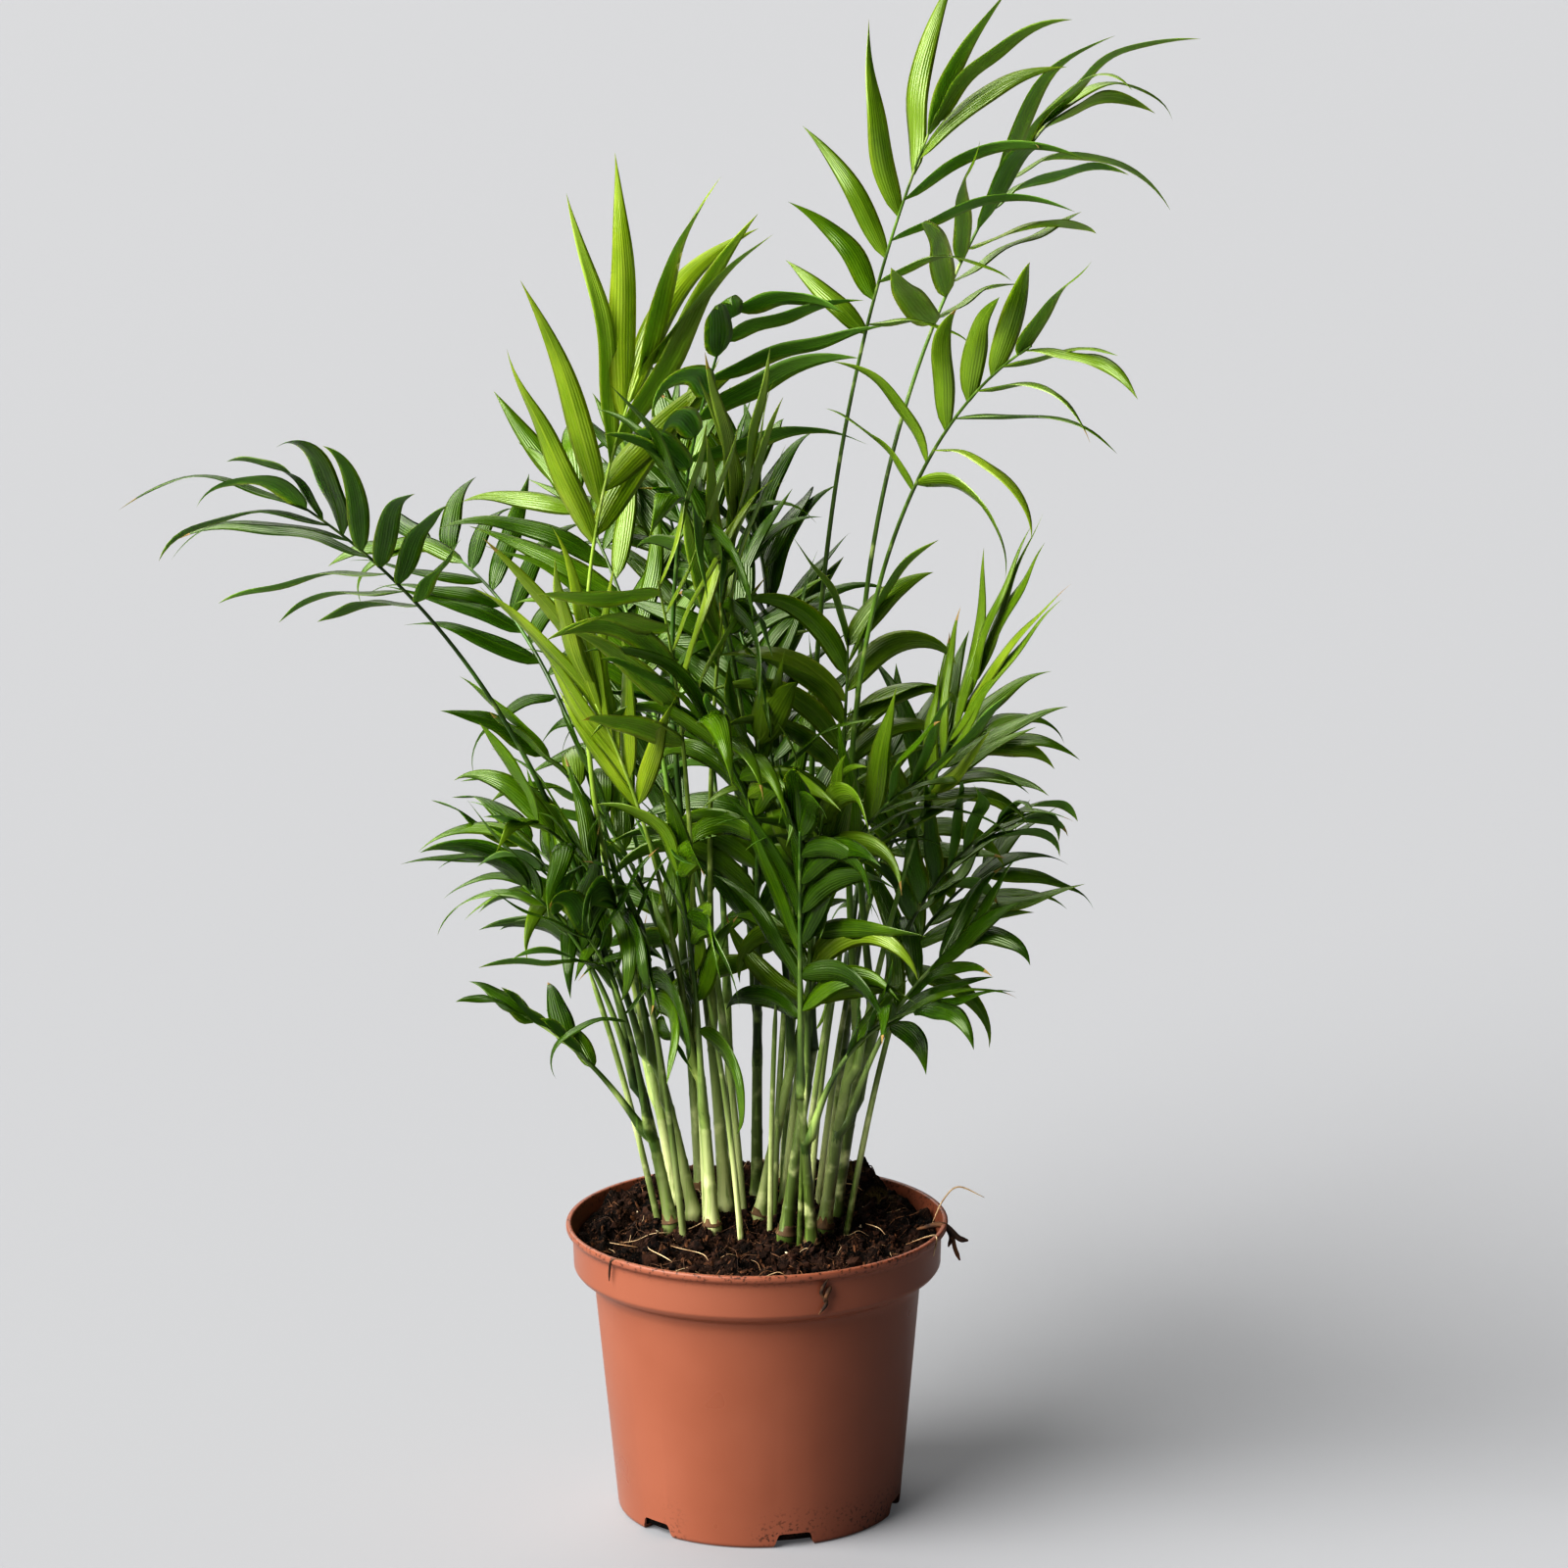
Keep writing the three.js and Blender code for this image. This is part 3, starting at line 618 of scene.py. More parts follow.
# bundle, radius, steps and places of each thread that is laid one by one
laid_threads = [
    # pale roots that lie over the front of the peat
    (pale_threads, 0.18, 14, [(-46, -16, 90.5), (-42, -20, 91), (-37, -21, 90.5)]),
    (pale_threads, 0.2, 14, [(-34, -22, 91), (-33, -27, 91.5), (-29, -32, 91), (-26, -35, 90)]),
    (pale_threads, 0.18, 14, [(-27, -21, 91), (-24, -26, 91.6), (-17, -30, 91), (-15, -34, 90)]),
    (pale_threads, 0.16, 14, [(34, 0, 91), (38, -6, 91.4), (40, -12, 91)]),
    # the root in the air, and a rootlet and a smear of peat down the band
    (pale_threads, 0.26, 22, [(55, 2, 90), (58.5, 4, 97), (63.4, 4, 101.5), (71.5, 4, 98)]),
    (brown_threads, 0.36, 14, [
        (-40.5, -42, 93.2), (-44.6, -40, 92.4), (-45.4, -38.2, 88.8), (-45.6, -37.6, 85),
    ]),
    (brown_threads, 0.62, 14, [
        (21.8, -55.2, 91.4), (19.4, -55.6, 86.6), (21, -55, 83), (18.6, -55.6, 79.6),
    ]),
    (brown_threads, 0.8, 14, [(22.4, -54.6, 88.2), (21.2, -55.2, 86), (20.2, -55.4, 83.4)]),
    # the forked twig at the right of the rim, and a strand that crosses the lip before it
    (brown_threads, 0.95, 18, [(50, -5, 90.5), (58, -7, 92.5), (63, -8, 88.5), (66, -8, 87.6)]),
    (brown_threads, 0.75, 18, [(61, -7.6, 90), (61.8, -8, 85.4), (63.4, -8, 81.2)]),
    (brown_threads, 0.6, 18, [(59, -7, 92), (60.6, -7.6, 88.6), (59.8, -8, 85.6)]),
    (pale_threads, 0.3, 14, [
        (46, -24, 91.5), (52.5, -23, 93.6), (55.6, -21.6, 93.2), (54.6, -25, 88),
    ]),
]
for bundle, radius, steps, points in laid_threads:
    bundle.add(*thread(points, radius, steps))


def thread_look(name, dark, light):
    material, tree, shader = new_material(name, 0.8)
    grain = add_mottle(tree, 180, 1500)
    patches = ramp(tree, grain["Patches"], 0.35, 0.65)
    paint(tree, shader, blend_colours(tree, patches, dark, light))
    add_bump(tree, shader, grain["Specks"], 0.5, 0.0003)
    return material


for name, bundle, dark, light in (
    ("pale_roots", pale_threads, colour(150, 118, 84), colour(208, 184, 146)),
    ("brown_fibres", brown_threads, colour(46, 30, 20), colour(112, 78, 50)),
):
    threads = bundle.make(name, [thread_look(name, dark, light)])
    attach(threads, "root")


# ---- Stems --------------------------------------------------------------------------------
# Sixteen seedlings rise from the peat as slim canes, pale green and ringed where old sheaths
# came away. Each is cut flat at the ground, flares at its foot and ends at its fork.

path_steps = 60  # of every limb of the palm
stem_arch, shoot_arch = 4, 8
stem_tip_share = 0.72
flare, flare_height = 0.45, 3.0
foot_lift = 0.55  # of a foot over the highest peat round it
buried = 4  # how far canes and shoots go on down under that
cane_sides, shoot_sides = 16, 12
# share of the cane at which each old ring sits, and how far it may stray from there
cane_rings = [(0.2, 0.08), (0.46, 0.1), (0.74, 0.08)]
# foot x, foot y, direction turned from +X, lean from upright, length, foot radius
STEMS = [
    (-27, 1, 165, 11, 58, 1.95), (-26, 24, 160, 9, 62, 1.9), (-20, 9, 170, 12, 66, 1.9),
    (-18, 30, 120, 6, 70, 1.8), (-14, -3, 200, 3, 62, 2), (-10, 15, 180, 3, 74, 2.1),
    (-8, 33, 95, 8, 60, 1.8), (0, 22, 80, 3, 76, 1.9), (1, 5, 350, 11, 70, 1.95),
    (9, 13, 20, 6, 74, 1.9), (9, -11, 350, 7, 62, 2.1), (17, -17, 240, 6, 50, 1.8),
    (21, -5, 5, 8, 66, 2.1), (25, 10, 15, 9, 68, 1.9), (9, 35, 75, 9, 62, 1.8),
    (22, 29, 45, 10, 60, 1.8),
]


def wobble(key):
    """A number from -1 to 1 that a key always gives."""
    value = math.sin(key * 12.9898) * 43758.5453
    return 2 * (value - math.floor(value)) - 1


def heading(turn, lean):
    turn, lean = math.radians(turn), math.radians(lean)
    return np.array((math.sin(lean) * math.cos(turn), math.sin(lean) * math.sin(turn), math.cos(lean)))


def limb_path(start, turn, lean, arch, length):
    """A limb bends in one upright plane: it leaves its foot at a lean and arches over to its tip."""
    points = [np.array(start, float)]
    for i in range(path_steps):
        angle = lean + arch * ((i + 0.5) / path_steps) ** 1.5
        points.append(points[-1] + heading(turn, angle) * length / path_steps)
    return np.array(points)


def point_at(path, share):
    place = min(max(share, 0), 1) * path_steps
    first = min(int(place), path_steps - 1)
    return path[first] + (path[first + 1] - path[first]) * (place - first)


def stem_radius(row, share):
    length, foot = row[4], row[5]
    taper = 1 - (1 - stem_tip_share) * share
    return foot * (taper + flare * math.exp(-share * length / flare_height))


def foot_height(x, y, radius):
    """Just over the highest peat round a stem's foot."""
    turns = [math.radians(a) for a in range(0, 360, 60)]
    around = [(x + radius * math.cos(a), y + radius * math.sin(a)) for a in turns]
    return max(soil_height(*place) for place in [(x, y)] + around) + foot_lift


stem_paths = []
canes, husks = Bundle(), Bundle()
for number, row in enumerate(STEMS):
    x, y, turn, lean, length, foot = row
    path = limb_path((x, y, foot_height(x, y, foot * (1 + flare))), turn, lean, stem_arch, length)
    stem_paths.append(path)
    # The cane starts under the rough peat, steps in at each old ring and swells a little at it.
    shares = np.linspace(0, 1, 96)
    rings = [share + stray * wobble(number * 5 + k) for k, (share, stray) in enumerate(cane_rings, 1)]
    radii = []
    for share in shares:
        swell = sum(0.07 * math.exp(-(((share - r) * length / 0.7) ** 2)) for r in rings)
        step = sum(0.03 for r in rings if share < r)
        radii.append(stem_radius(row, share) * (0.93 + swell + step))
    radii[-1] *= 0.7
    centres = [point_at(path, s) for s in shares]
    canes.add(*tube_parts([centres[0] - (0, 0, buried)] + centres, [radii[0]] + radii, cane_sides, True))
    # The foot of some is wrapped in a torn papery husk.
    if wobble(number * 7 + 4) > 0:
        continue
    tall = (1.6 + 1.1 * wobble(number * 7 + 5)) / length
    shares = np.linspace(0.0, tall, 10)
    husk_radii = [stem_radius(row, s) + 0.08 + 0.3 * (1 - s / tall) for s in shares]
    verts, quads = tube_parts([point_at(path, s) for s in shares], husk_radii, cane_sides)
    verts = verts.reshape(-1, cane_sides, 3)
    ragged = np.array([1.9 * wobble(number * 31 + k) for k in range(cane_sides)])
    for ring, pull in ((-4, 0.35), (-3, 0.7), (-2, 1.0)):
        verts[ring, :, 2] += ragged * pull
    verts[-1] = verts[-2] * 0.97 + verts[-2].mean(0) * 0.03
    husks.add(verts.reshape(-1, 3), quads)


# Thin unopened shoots stand between the canes: closed spears that end among the lowest leaves.
# Their values stand in the same order as those of the stems.
shoots = [
    (-31, 9, 165, 12, 92, 1.1), (-23, -5, 150, 6, 96, 1.15), (-16, 3, 120, 3, 108, 1.1),
    (-5, -8, 210, 5, 90, 1.0), (-4, 8, 170, 4, 118, 1.2), (4, -5, 285, 4, 86, 0.95),
    (5, 0, 60, 5, 110, 1.1), (13, -7, 25, 6, 92, 1.1), (13, -15, 285, 7, 62, 0.9),
    (16, 4, 330, 5, 104, 1.15), (28, -1, 10, 10, 92, 1.1), (-10, 24, 130, 5, 104, 1.1),
    (8, 22, 60, 6, 100, 1.1), (19, 19, 40, 9, 94, 1.1),
]
for x, y, turn, lean, length, foot in shoots:
    base = foot_height(x, y, foot * (1 + flare)) - buried
    path = limb_path((x, y, base), turn, lean, shoot_arch, length)
    shares = np.linspace(0, 1, 40)
    radii = [foot * (1 - 0.25 * s) * min(1, 6 * (1 - s) + 0.02) for s in shares]
    canes.add(*tube_parts([point_at(path, s) for s in shares], radii, shoot_sides))


def cane_look(name, low, high, roughness, low_height=0.085, high_height=0.16):
    """Smooth plant skin with fine lengthwise fibres; low and high are its colours up the plant."""
    material, tree, shader = new_material(name, roughness)

    def streaks(scale, detail):
        stretched = node(tree, "ShaderNodeMapping", {"Vector": own_place(tree), "Scale": scale})
        feeds = {"Vector": stretched.outputs["Vector"], "Scale": 1, "Detail": detail}
        return node(tree, "ShaderNodeTexNoise", feeds).outputs["Fac"]

    fibres = streaks((900, 900, 50), 3)
    grain = add_mottle(tree, 140, 1800)
    rising = blend_colours(tree, height_mask(tree, low_height, high_height), low, high)
    # Whole canes differ: some stay pale, others green early, and the green ones are made dark as painted
    # shade for the gaps among the canes.
    each = streaks((75, 75, 7), 1)
    greener_and_shaded = tuple(h * 0.3 for h in high[:3]) + (1,)
    base = blend_colours(tree, ramp(tree, each, 0.38, 0.6), rising, greener_and_shaded)
    darker = tuple(c * 0.72 for c in high[:3]) + (1,)
    lined = blend_colours(tree, ramp(tree, fibres, 0.5, 0.8), base, darker)
    paint(tree, shader, blend_colours(tree, ramp(tree, grain["Patches"], 0.52, 0.85), lined, low))
    add_bump(tree, shader, fibres, 0.25, 0.0003)
    return material


cane = cane_look("pale_cane", colour(216, 222, 164), colour(142, 168, 84), 0.34)
husk = cane_look("brown_husk", colour(74, 50, 32), colour(150, 118, 78), 0.8, 0.09, 0.1)
stems = canes.make("stems", [cane])
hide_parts(*["stem_%02d" % (k + 1) for k in range(len(STEMS))])
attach(stems, "root")
feet = husks.make("stem_husks", [husk])
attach(feet, "root")


# ---- Fronds -------------------------------------------------------------------------------
# Each frond is a green stalk that leaves a stem's tip or side and runs on as the rib between
# two rows of leaflets. Old fronds are dark and sag, young ones are yellow green and erect.

# How a frond grows. bare is the share of its limb without leaflets and width the width of a
# leaflet. Pairs of values are at its lowest and at its end pair: the angle between leaflet and
# rib, the arch of a level leaflet by its tip, its length over the longest. facing is how far a
# blade turns from level into the plane of the two rows, rise how far leaflets reach up and lift
# how far out of that plane. loose and sway are the spread of the arch and of the angle, denser
# is the pairs over the solid's, seek how far each leaflet turns its face to the light, and fold
# how steep its halves fall from the midrib. What a growth doesn't state is as usual.
usual = dict(facing=0.4, rise=0, lift=0, loose=20, sway=7, denser=1, seek=0.2, fold=0.3)
TALL = dict(
    usual, bare=0.74, width=7.5, angle=(60, 10), droop=(50, 108), size=(0.62, 0.95),
    rise=0.06, lift=0.2, seek=0.15,
)
WIDE = dict(
    usual, bare=0.75, width=8.5, angle=(76, 12), droop=(0, 125), size=(0.82, 0.87),
    rise=0.04, lift=-0.05, seek=0.15,
)
LOOSE = dict(
    usual, bare=0.7, width=7, angle=(55, 12), droop=(115, 30), size=(0.72, 0.8),
    lift=0.08,
)
YOUNG = dict(
    usual, bare=0.72, width=8.8, angle=(32, 12), droop=(5, 60), size=(0.8, 0.78),
    facing=0.7, rise=0.02, lift=0.05, loose=8, sway=5, seek=0.05, fold=0.5,
)
HALF = dict(
    usual, bare=0.61, width=7.5, angle=(42, 56), droop=(46, 8), size=(0.9, 0.8),
    facing=0.6, rise=0.25, lift=0.03, seek=0.3,
)
SPEAR = dict(
    usual, bare=0.7, width=6, angle=(24, 8), droop=(10, 40), size=(0.62, 0.95),
    facing=0.6, rise=0.02, lift=0.09, loose=10, sway=5, seek=0.35,
)
FAN = dict(
    usual, bare=0.74, width=9, angle=(50, 24), droop=(48, 50), size=(0.99, 0.66),
    facing=0.8, lift=-0.5, loose=25, sway=9, seek=0,
)
REACH = dict(
    usual, bare=0.76, width=7.5, angle=(72, 15), droop=(30, 94), size=(0.62, 0.82),
    rise=0.03,
)
HANG = dict(
    usual, bare=0.52, width=7.8, angle=(60, 28), droop=(115, 100), size=(0.85, 0.85),
    facing=0.6, rise=0.12, lift=0.1, loose=50, sway=20, denser=1.3, seek=0.4,
)
SPRAY = dict(
    usual, bare=0.52, width=7, angle=(58, 20), droop=(70, 60), size=(0.9, 0.8),
    facing=0.5, rise=0.14, lift=0.12, loose=70, sway=27, denser=1.1, seek=0.4,
)
LOW = dict(
    usual, bare=0.5, width=7, angle=(58, 20), droop=(70, 60), size=(0.9, 0.8),
    facing=0.45, rise=0.16, lift=0.12, loose=70, sway=27, denser=1.1, seek=0.4,
)
HEART = dict(
    usual, bare=0.28, width=7.8, angle=(62, 24), droop=(60, 85), size=(0.95, 0.8),
    facing=0.6, rise=0.12, lift=0.1, loose=90, sway=34, denser=1.1, seek=0.4,
)

# stem, share of the stem where it leaves, direction turned from +X, lean from upright at its
# foot, arch added by its tip, length, pairs of leaflets, longest leaflet, growth, tone, roll of
# the rows about the rib
FRONDS = [
    # tall ones over the right of the crown
    (10, 1.0, 318, -1, 29, 283, 6, 57, TALL, "mid", -68),
    (14, 1.0, 13, -6, 44, 291, 7, 66, WIDE, "mid", -40),
    (13, 1.0, 305, -7, 71, 257, 6, 54, LOOSE, "mid", -62),
    # young erect ones over the middle
    (3, 1.0, 15, -15, 40, 213, 5, 80, YOUNG, "young", -80),
    (6, 1.0, 318, -12, 41, 222, 5, 54, FAN, "forest", -20),
    (5, 1.0, 256, 0, 36, 160, 5, 60, HALF, "fresh", 61),
    # long ones to the left
    (1, 1.0, 206, 14, 41, 216, 7, 65, REACH, "deep", 30),
    (2, 1.0, 125, 14, 74, 200, 7, 44, SPRAY, "deep", -20),
    (3, 0.75, 228, 10, 52, 106, 6, 44, SPRAY, "forest", -40),
    (1, 0.75, 210, 14, 36, 82, 5, 42, SPRAY, "deep", 25),
    (2, 0.75, 205, 14, 36, 76, 5, 40, LOW, "forest", -35),
    (1, 0.5, 240, 12, 36, 84, 4, 42, LOW, "deep", 50),
    (5, 0.8, 216, 8, 20, 128, 5, 68, SPEAR, "young", 30),
    # low and middle ones to the right
    (13, 0.75, 343, 12, 12, 136, 5, 58, SPEAR, "mid", 60),
    (14, 0.75, 343, 11, 46, 92, 6, 41, SPRAY, "forest", -25),
    (11, 1.0, 337, -2, 60, 100, 5, 48, SPRAY, "forest", -45),
    (13, 0.5, 357, 17, 36, 72, 4, 40, LOW, "deep", 35),
    (16, 1.0, 25, 8, 52, 98, 7, 44, SPRAY, "forest", 45),
    # the dense middle
    (6, 0.78, 300, -3, 22, 168, 5, 62, SPEAR, "fresh", 20),
    (9, 1.0, 340, 11, -10, 120, 6, 48, HANG, "mid", -50),
    (8, 1.0, 250, 2, 50, 178, 7, 55, HANG, "deep", -50),
    (10, 0.78, 118, 7, 36, 150, 7, 52, HEART, "deep", -30),
    (9, 0.78, 235, 4, 46, 128, 7, 50, HANG, "forest", -15),
    (11, 0.75, 281, 4, 30, 100, 6, 48, HEART, "mid", -55),
    (12, 1.0, 270, 3, 34, 96, 6, 46, HEART, "deep", -40),
    (5, 0.6, 258, 6, 36, 92, 6, 46, HEART, "forest", -55),
    (3, 0.55, 246, 10, 40, 84, 6, 42, HEART, "deep", -50),
    (8, 0.6, 272, 5, 30, 116, 7, 50, HEART, "forest", -15),
    (12, 0.7, 335, 16, 60, 62, 4, 38, LOW, "deep", -5),
    (1, 0.5, 180, 32, 30, 54, 3, 32, LOW, "deep", 0),
    # the back of the crown
    (15, 1.0, 102, 3, 50, 180, 7, 55, SPRAY, "deep", 35),
    (7, 1.0, 105, 6, 56, 185, 7, 55, SPRAY, "forest", -40),
    (4, 1.0, 122, 4, 52, 170, 7, 51, SPRAY, "forest", -30),
    (8, 0.8, 112, 8, 44, 185, 7, 55, SPRAY, "deep", -40),
    (16, 0.75, 76, 14, 66, 115, 6, 48, SPRAY, "deep", -20),
    (15, 0.75, 95, 14, 46, 122, 6, 50, HEART, "forest", 55),
    (7, 0.75, 122, 13, 42, 120, 6, 50, HEART, "deep", -55),
    (4, 0.7, 167, 9, 44, 105, 6, 46, HEART, "forest", -5),
    (2, 0.5, 130, 18, 60, 104, 5, 46, LOW, "deep", -10),
    (14, 0.5, 40, 16, 60, 92, 5, 45, LOW, "forest", 30),
    (16, 0.5, 75, 20, 62, 105, 5, 47, LOW, "deep", -60),
]
TONES = ("deep", "forest", "mid", "fresh", "young")
stalk_radius, rib_tip_radius = 1.15, 0.35
stalk_flare, stalk_flare_height = 0.7, 7
# The sheath that a stalk comes out of: how far below the stalk, and its radius over the cane's.
sheath = [(9, 0.8), (5, 1.0), (2, 1.08)]
end_pair = 0.985
leaf_stagger = 0.2
leaf_rows = 20
leaf_thickness = 0.2
# Spreads of a blade's own bends, each with a part that grows towards the tip: twist in radians,
# sway sideways and curl up or down over the blade's length.
twist_spread, twist_tip = 0.55, 1.15
sway_spread, sway_tip = 0.07, 0.11
wave_height, curl_tip = 0.012, 0.13
ruffle_height = 0.1
# The leaves have turned towards the light, which comes from the left, in front and above.
light_from = np.array((-0.71, -0.44, 0.55))


def direction_at(path, share):
    first = min(int(min(max(share, 0), 1) * path_steps), path_steps - 1)
    along = path[first + 1] - path[first]
    return along / np.linalg.norm(along)


def sheath_parts(stem_number, share):
    """Where a stalk starts inside its cane: points and radii of the sheath that it comes out of."""
    path, row = stem_paths[stem_number - 1], STEMS[stem_number - 1]
    if share >= 1:
        return [], []
    places = [share - below / row[4] for below, fit in sheath]
    centres = [point_at(path, s) for s in places]
    radii = [stem_radius(row, s) * fit for s, (below, fit) in zip(places, sheath)]
    return centres, radii


def frond_foot(stem_number, share, turn):
    """Over the stem's tip, or at the stem's side."""
    path, row = stem_paths[stem_number - 1], STEMS[stem_number - 1]
    if share >= 1:
        return point_at(path, 1) - direction_at(path, 1) * 1.5
    return point_at(path, share) + heading(turn, 90) * (stem_radius(row, share) * 0.9 + 0.7)


def mix(ends, place):
    return ends[0] + (ends[1] - ends[0]) * place


def leaflet_path(path, frond_turn, roll, growth, longest, pair, pairs, side, key):
    """A leaflet leaves the rib sideways and forward. It arches over more the flatter it starts."""
    place = min(max((pair + side * leaf_stagger) / (pairs - 1), 0), 1)
    share = growth["bare"] + (end_pair - growth["bare"]) * place
    rib = direction_at(path, share)
    level = heading(frond_turn + 90, 90)
    rolled = math.radians(roll)
    across = level * math.cos(rolled) + np.cross(rib, level) * math.sin(rolled)
    normal = np.cross(rib, across)
    opening = math.radians(mix(growth["angle"], place) + growth["sway"] * wobble(key))
    out = rib * math.cos(opening) + across * side * math.sin(opening)
    out = out + normal * (growth["lift"] + 0.1 * wobble(key + 41))
    out = out + np.array((0, 0, growth["rise"] + 0.15 * wobble(key + 13)))
    out /= np.linalg.norm(out)
    turn, lean = math.degrees(math.atan2(out[1], out[0])), math.degrees(math.acos(out[2]))
    droop = mix(growth["droop"], place) + growth["loose"] * wobble(key + 19)
    droop *= 0.25 + 0.75 * math.sin(math.radians(lean))
    size = mix(growth["size"], place) + 0.2 * math.sin(math.pi * place)
    length = longest * size * (1 + 0.1 * wobble(key + 7))
    return limb_path(point_at(path, share), turn, lean, droop, length), turn, normal


# A blade's section from edge to edge over its upper side and back under it, and its outline.
across_shape = np.array((-1, -0.66, -0.3, 0, 0.3, 0.66, 1, 0.5, 0.0, -0.5))
above_shape = np.array((0, 0.5, 0.6, 0.8, 0.6, 0.5, 0, -0.5, -1.0, -0.5))
top_faces = 6
leaf_along = np.linspace(0, 1, leaf_rows) ** 0.92
leaf_outline = leaf_along**0.52 * (1 - leaf_along) ** 1.14
leaf_outline = np.maximum(leaf_outline / leaf_outline.max(), 0.16 * (1 - leaf_along) ** 6 + 0.004)


def leaf_parts(path, turn, normal, growth, width, key):
    """A narrow blade along its path, folded along its midrib, twisting to a long fine tip."""
    t = leaf_along
    steps = np.linspace(0, 1, len(path))
    centre = np.stack([np.interp(t, steps, path[:, k]) for k in range(3)], -1)
    along = np.gradient(centre, t, axis=0)
    along /= np.linalg.norm(along, axis=1)[:, None]
    level = heading(turn + 90, 90)
    flat = np.cross(normal, along)
    flat /= np.linalg.norm(flat, axis=1)[:, None]
    facing = growth["facing"]
    across = level * (1 if flat[0] @ level >= 0 else -1) * (1 - facing) + flat * facing
    across = across - along * (along * across).sum(1)[:, None]
    across /= np.linalg.norm(across, axis=1)[:, None]
    above = np.cross(along, across)
    # The upper side is the one that the belly turns to the light.
    belly = leaf_rows // 3
    above *= 1 if above[belly] @ light_from >= 0 else -1
    aim = growth["seek"] * math.atan2(-across[belly] @ light_from, above[belly] @ light_from)
    twist = (aim + twist_spread * wobble(key + 11) * t + twist_tip * wobble(key + 12) * t * t)[:, None]
    turned_across = across * np.cos(twist) + above * np.sin(twist)
    above = above * np.cos(twist) - across * np.sin(twist)
    across = turned_across
    reach = np.linalg.norm(np.diff(path, axis=0), axis=1).sum()
    sway = sway_spread * wobble(key + 3) * np.sin(math.pi * t) + sway_tip * wobble(key + 31) * t * t
    wave = wave_height * np.sin(t * 9 + 3 * wobble(key + 17)) * np.minimum(1, 4 * t)
    wave = wave + curl_tip * wobble(key + 43) * t**3
    centre = centre + across * (reach * sway)[:, None] + above * (reach * wave)[:, None]
    half = width / 2 * leaf_outline
    thickness = leaf_thickness * np.minimum(1, half / 1.2) + 0.004
    ruffle = ruffle_height * np.sin(t * 13 + 3 * wobble(key + 5))
    fall = growth["fold"] * (1 - 0.6 * t) + ruffle
    x = across_shape[None] * half[:, None]
    z = above_shape[None] * thickness[:, None] - np.abs(x) * fall[:, None]
    grid = centre[:, None] + across[:, None] * x[..., None] + above[:, None] * z[..., None]
    rows, sides = x.shape
    quads = ring_quads(rows, sides)
    if np.cross(across[0], above[0]) @ along[0] > 0:
        quads = quads[..., ::-1]
    u = (across_shape + 1) / 2
    v = t * 0.98 + 0.01
    points_uv = np.stack(np.broadcast_arrays(u[None], v[:, None]), -1).reshape(-1, 2)
    uvs = points_uv[quads.reshape(-1)]
    looks = np.zeros((rows - 1, sides), int)
    looks[:, top_faces:] = 1
    # The tips of a few have dried.
    if wobble(key + 23) > 0.8:
        looks[-2:] = 2
    return grid.reshape(-1, 3), quads.reshape(-1, 4), uvs, looks.ravel()


stalks = {tone: Bundle() for tone in ("old", "green", "yellow")}
leaves = {tone: Bundle() for tone in TONES}
for number, row in enumerate(FRONDS, 1):
    stem_number, share, turn, lean, arch, length, pairs, longest, growth, tone, roll = row
    path = limb_path(frond_foot(stem_number, share, turn), turn, lean, arch, length)
    shares = np.linspace(0, 1, 44)
    centres, radii = sheath_parts(stem_number, share)
    for s in shares[1:] if centres else shares:
        centres.append(point_at(path, s))
        taper = stalk_radius + (rib_tip_radius - stalk_radius) * s**0.9
        radii.append(taper + stalk_flare * math.exp(-s * length / stalk_flare_height))
    kind = {"young": "yellow", "fresh": "yellow", "mid": "green"}.get(tone, "old" if number % 3 else "green")
    stalks[kind].add(*tube_parts(centres, radii, 10))
    count = round(pairs * growth["denser"])
    for pair in range(count):
        for side in (-1, 1):
            key = number * 40 + pair * 2 + (side > 0)
            leaf_path, leaf_turn, normal = leaflet_path(
                path, turn, roll, growth, longest, pair, count, side, key
            )
            width = growth["width"] * (1 + 0.12 * wobble(key + 29)) * (1.12 if pair == count - 1 else 1)
            # Now and then a leaflet of an older frond is a tone lighter or darker than the rest.
            stray = wobble(key + 37)
            step = (stray > 0.7) - (stray < -0.7)
            near = TONES[min(max(TONES.index(tone) + step, 0), 3)]
            dealt = tone if tone == "young" else near
            leaves[dealt].add(*leaf_parts(leaf_path, leaf_turn, normal, growth, width, key))


def pleat_group():
    """Lengthwise veins of a leaflet, read from its own UV map: a wave and a mask of the midrib."""
    group = bpy.data.node_groups.new("pleats", "ShaderNodeTree")
    add_socket(group, "INPUT", "Veins", 9)
    add_socket(group, "OUTPUT", "Lines")
    add_socket(group, "OUTPUT", "Rib")
    veins = node(group, "NodeGroupInput").outputs["Veins"]
    where = node(group, "ShaderNodeUVMap", uv_map="across_and_along")
    over = node(group, "ShaderNodeSeparateXYZ", {0: where.outputs["UV"]}).outputs["X"]
    turns = both(group, both(group, over, veins), 6.2832)
    wave = node(group, "ShaderNodeMath", {0: turns}, operation="COSINE")
    off = node(group, "ShaderNodeMath", {0: over, 1: 0.5}, operation="SUBTRACT")
    apart = node(group, "ShaderNodeMath", {0: off.outputs[0]}, operation="ABSOLUTE")
    near = ramp(group, apart.outputs[0], 0.05, 0.02)
    node(group, "NodeGroupOutput", {"Lines": wave.outputs[0], "Rib": near})
    return group


pleats = pleat_group()


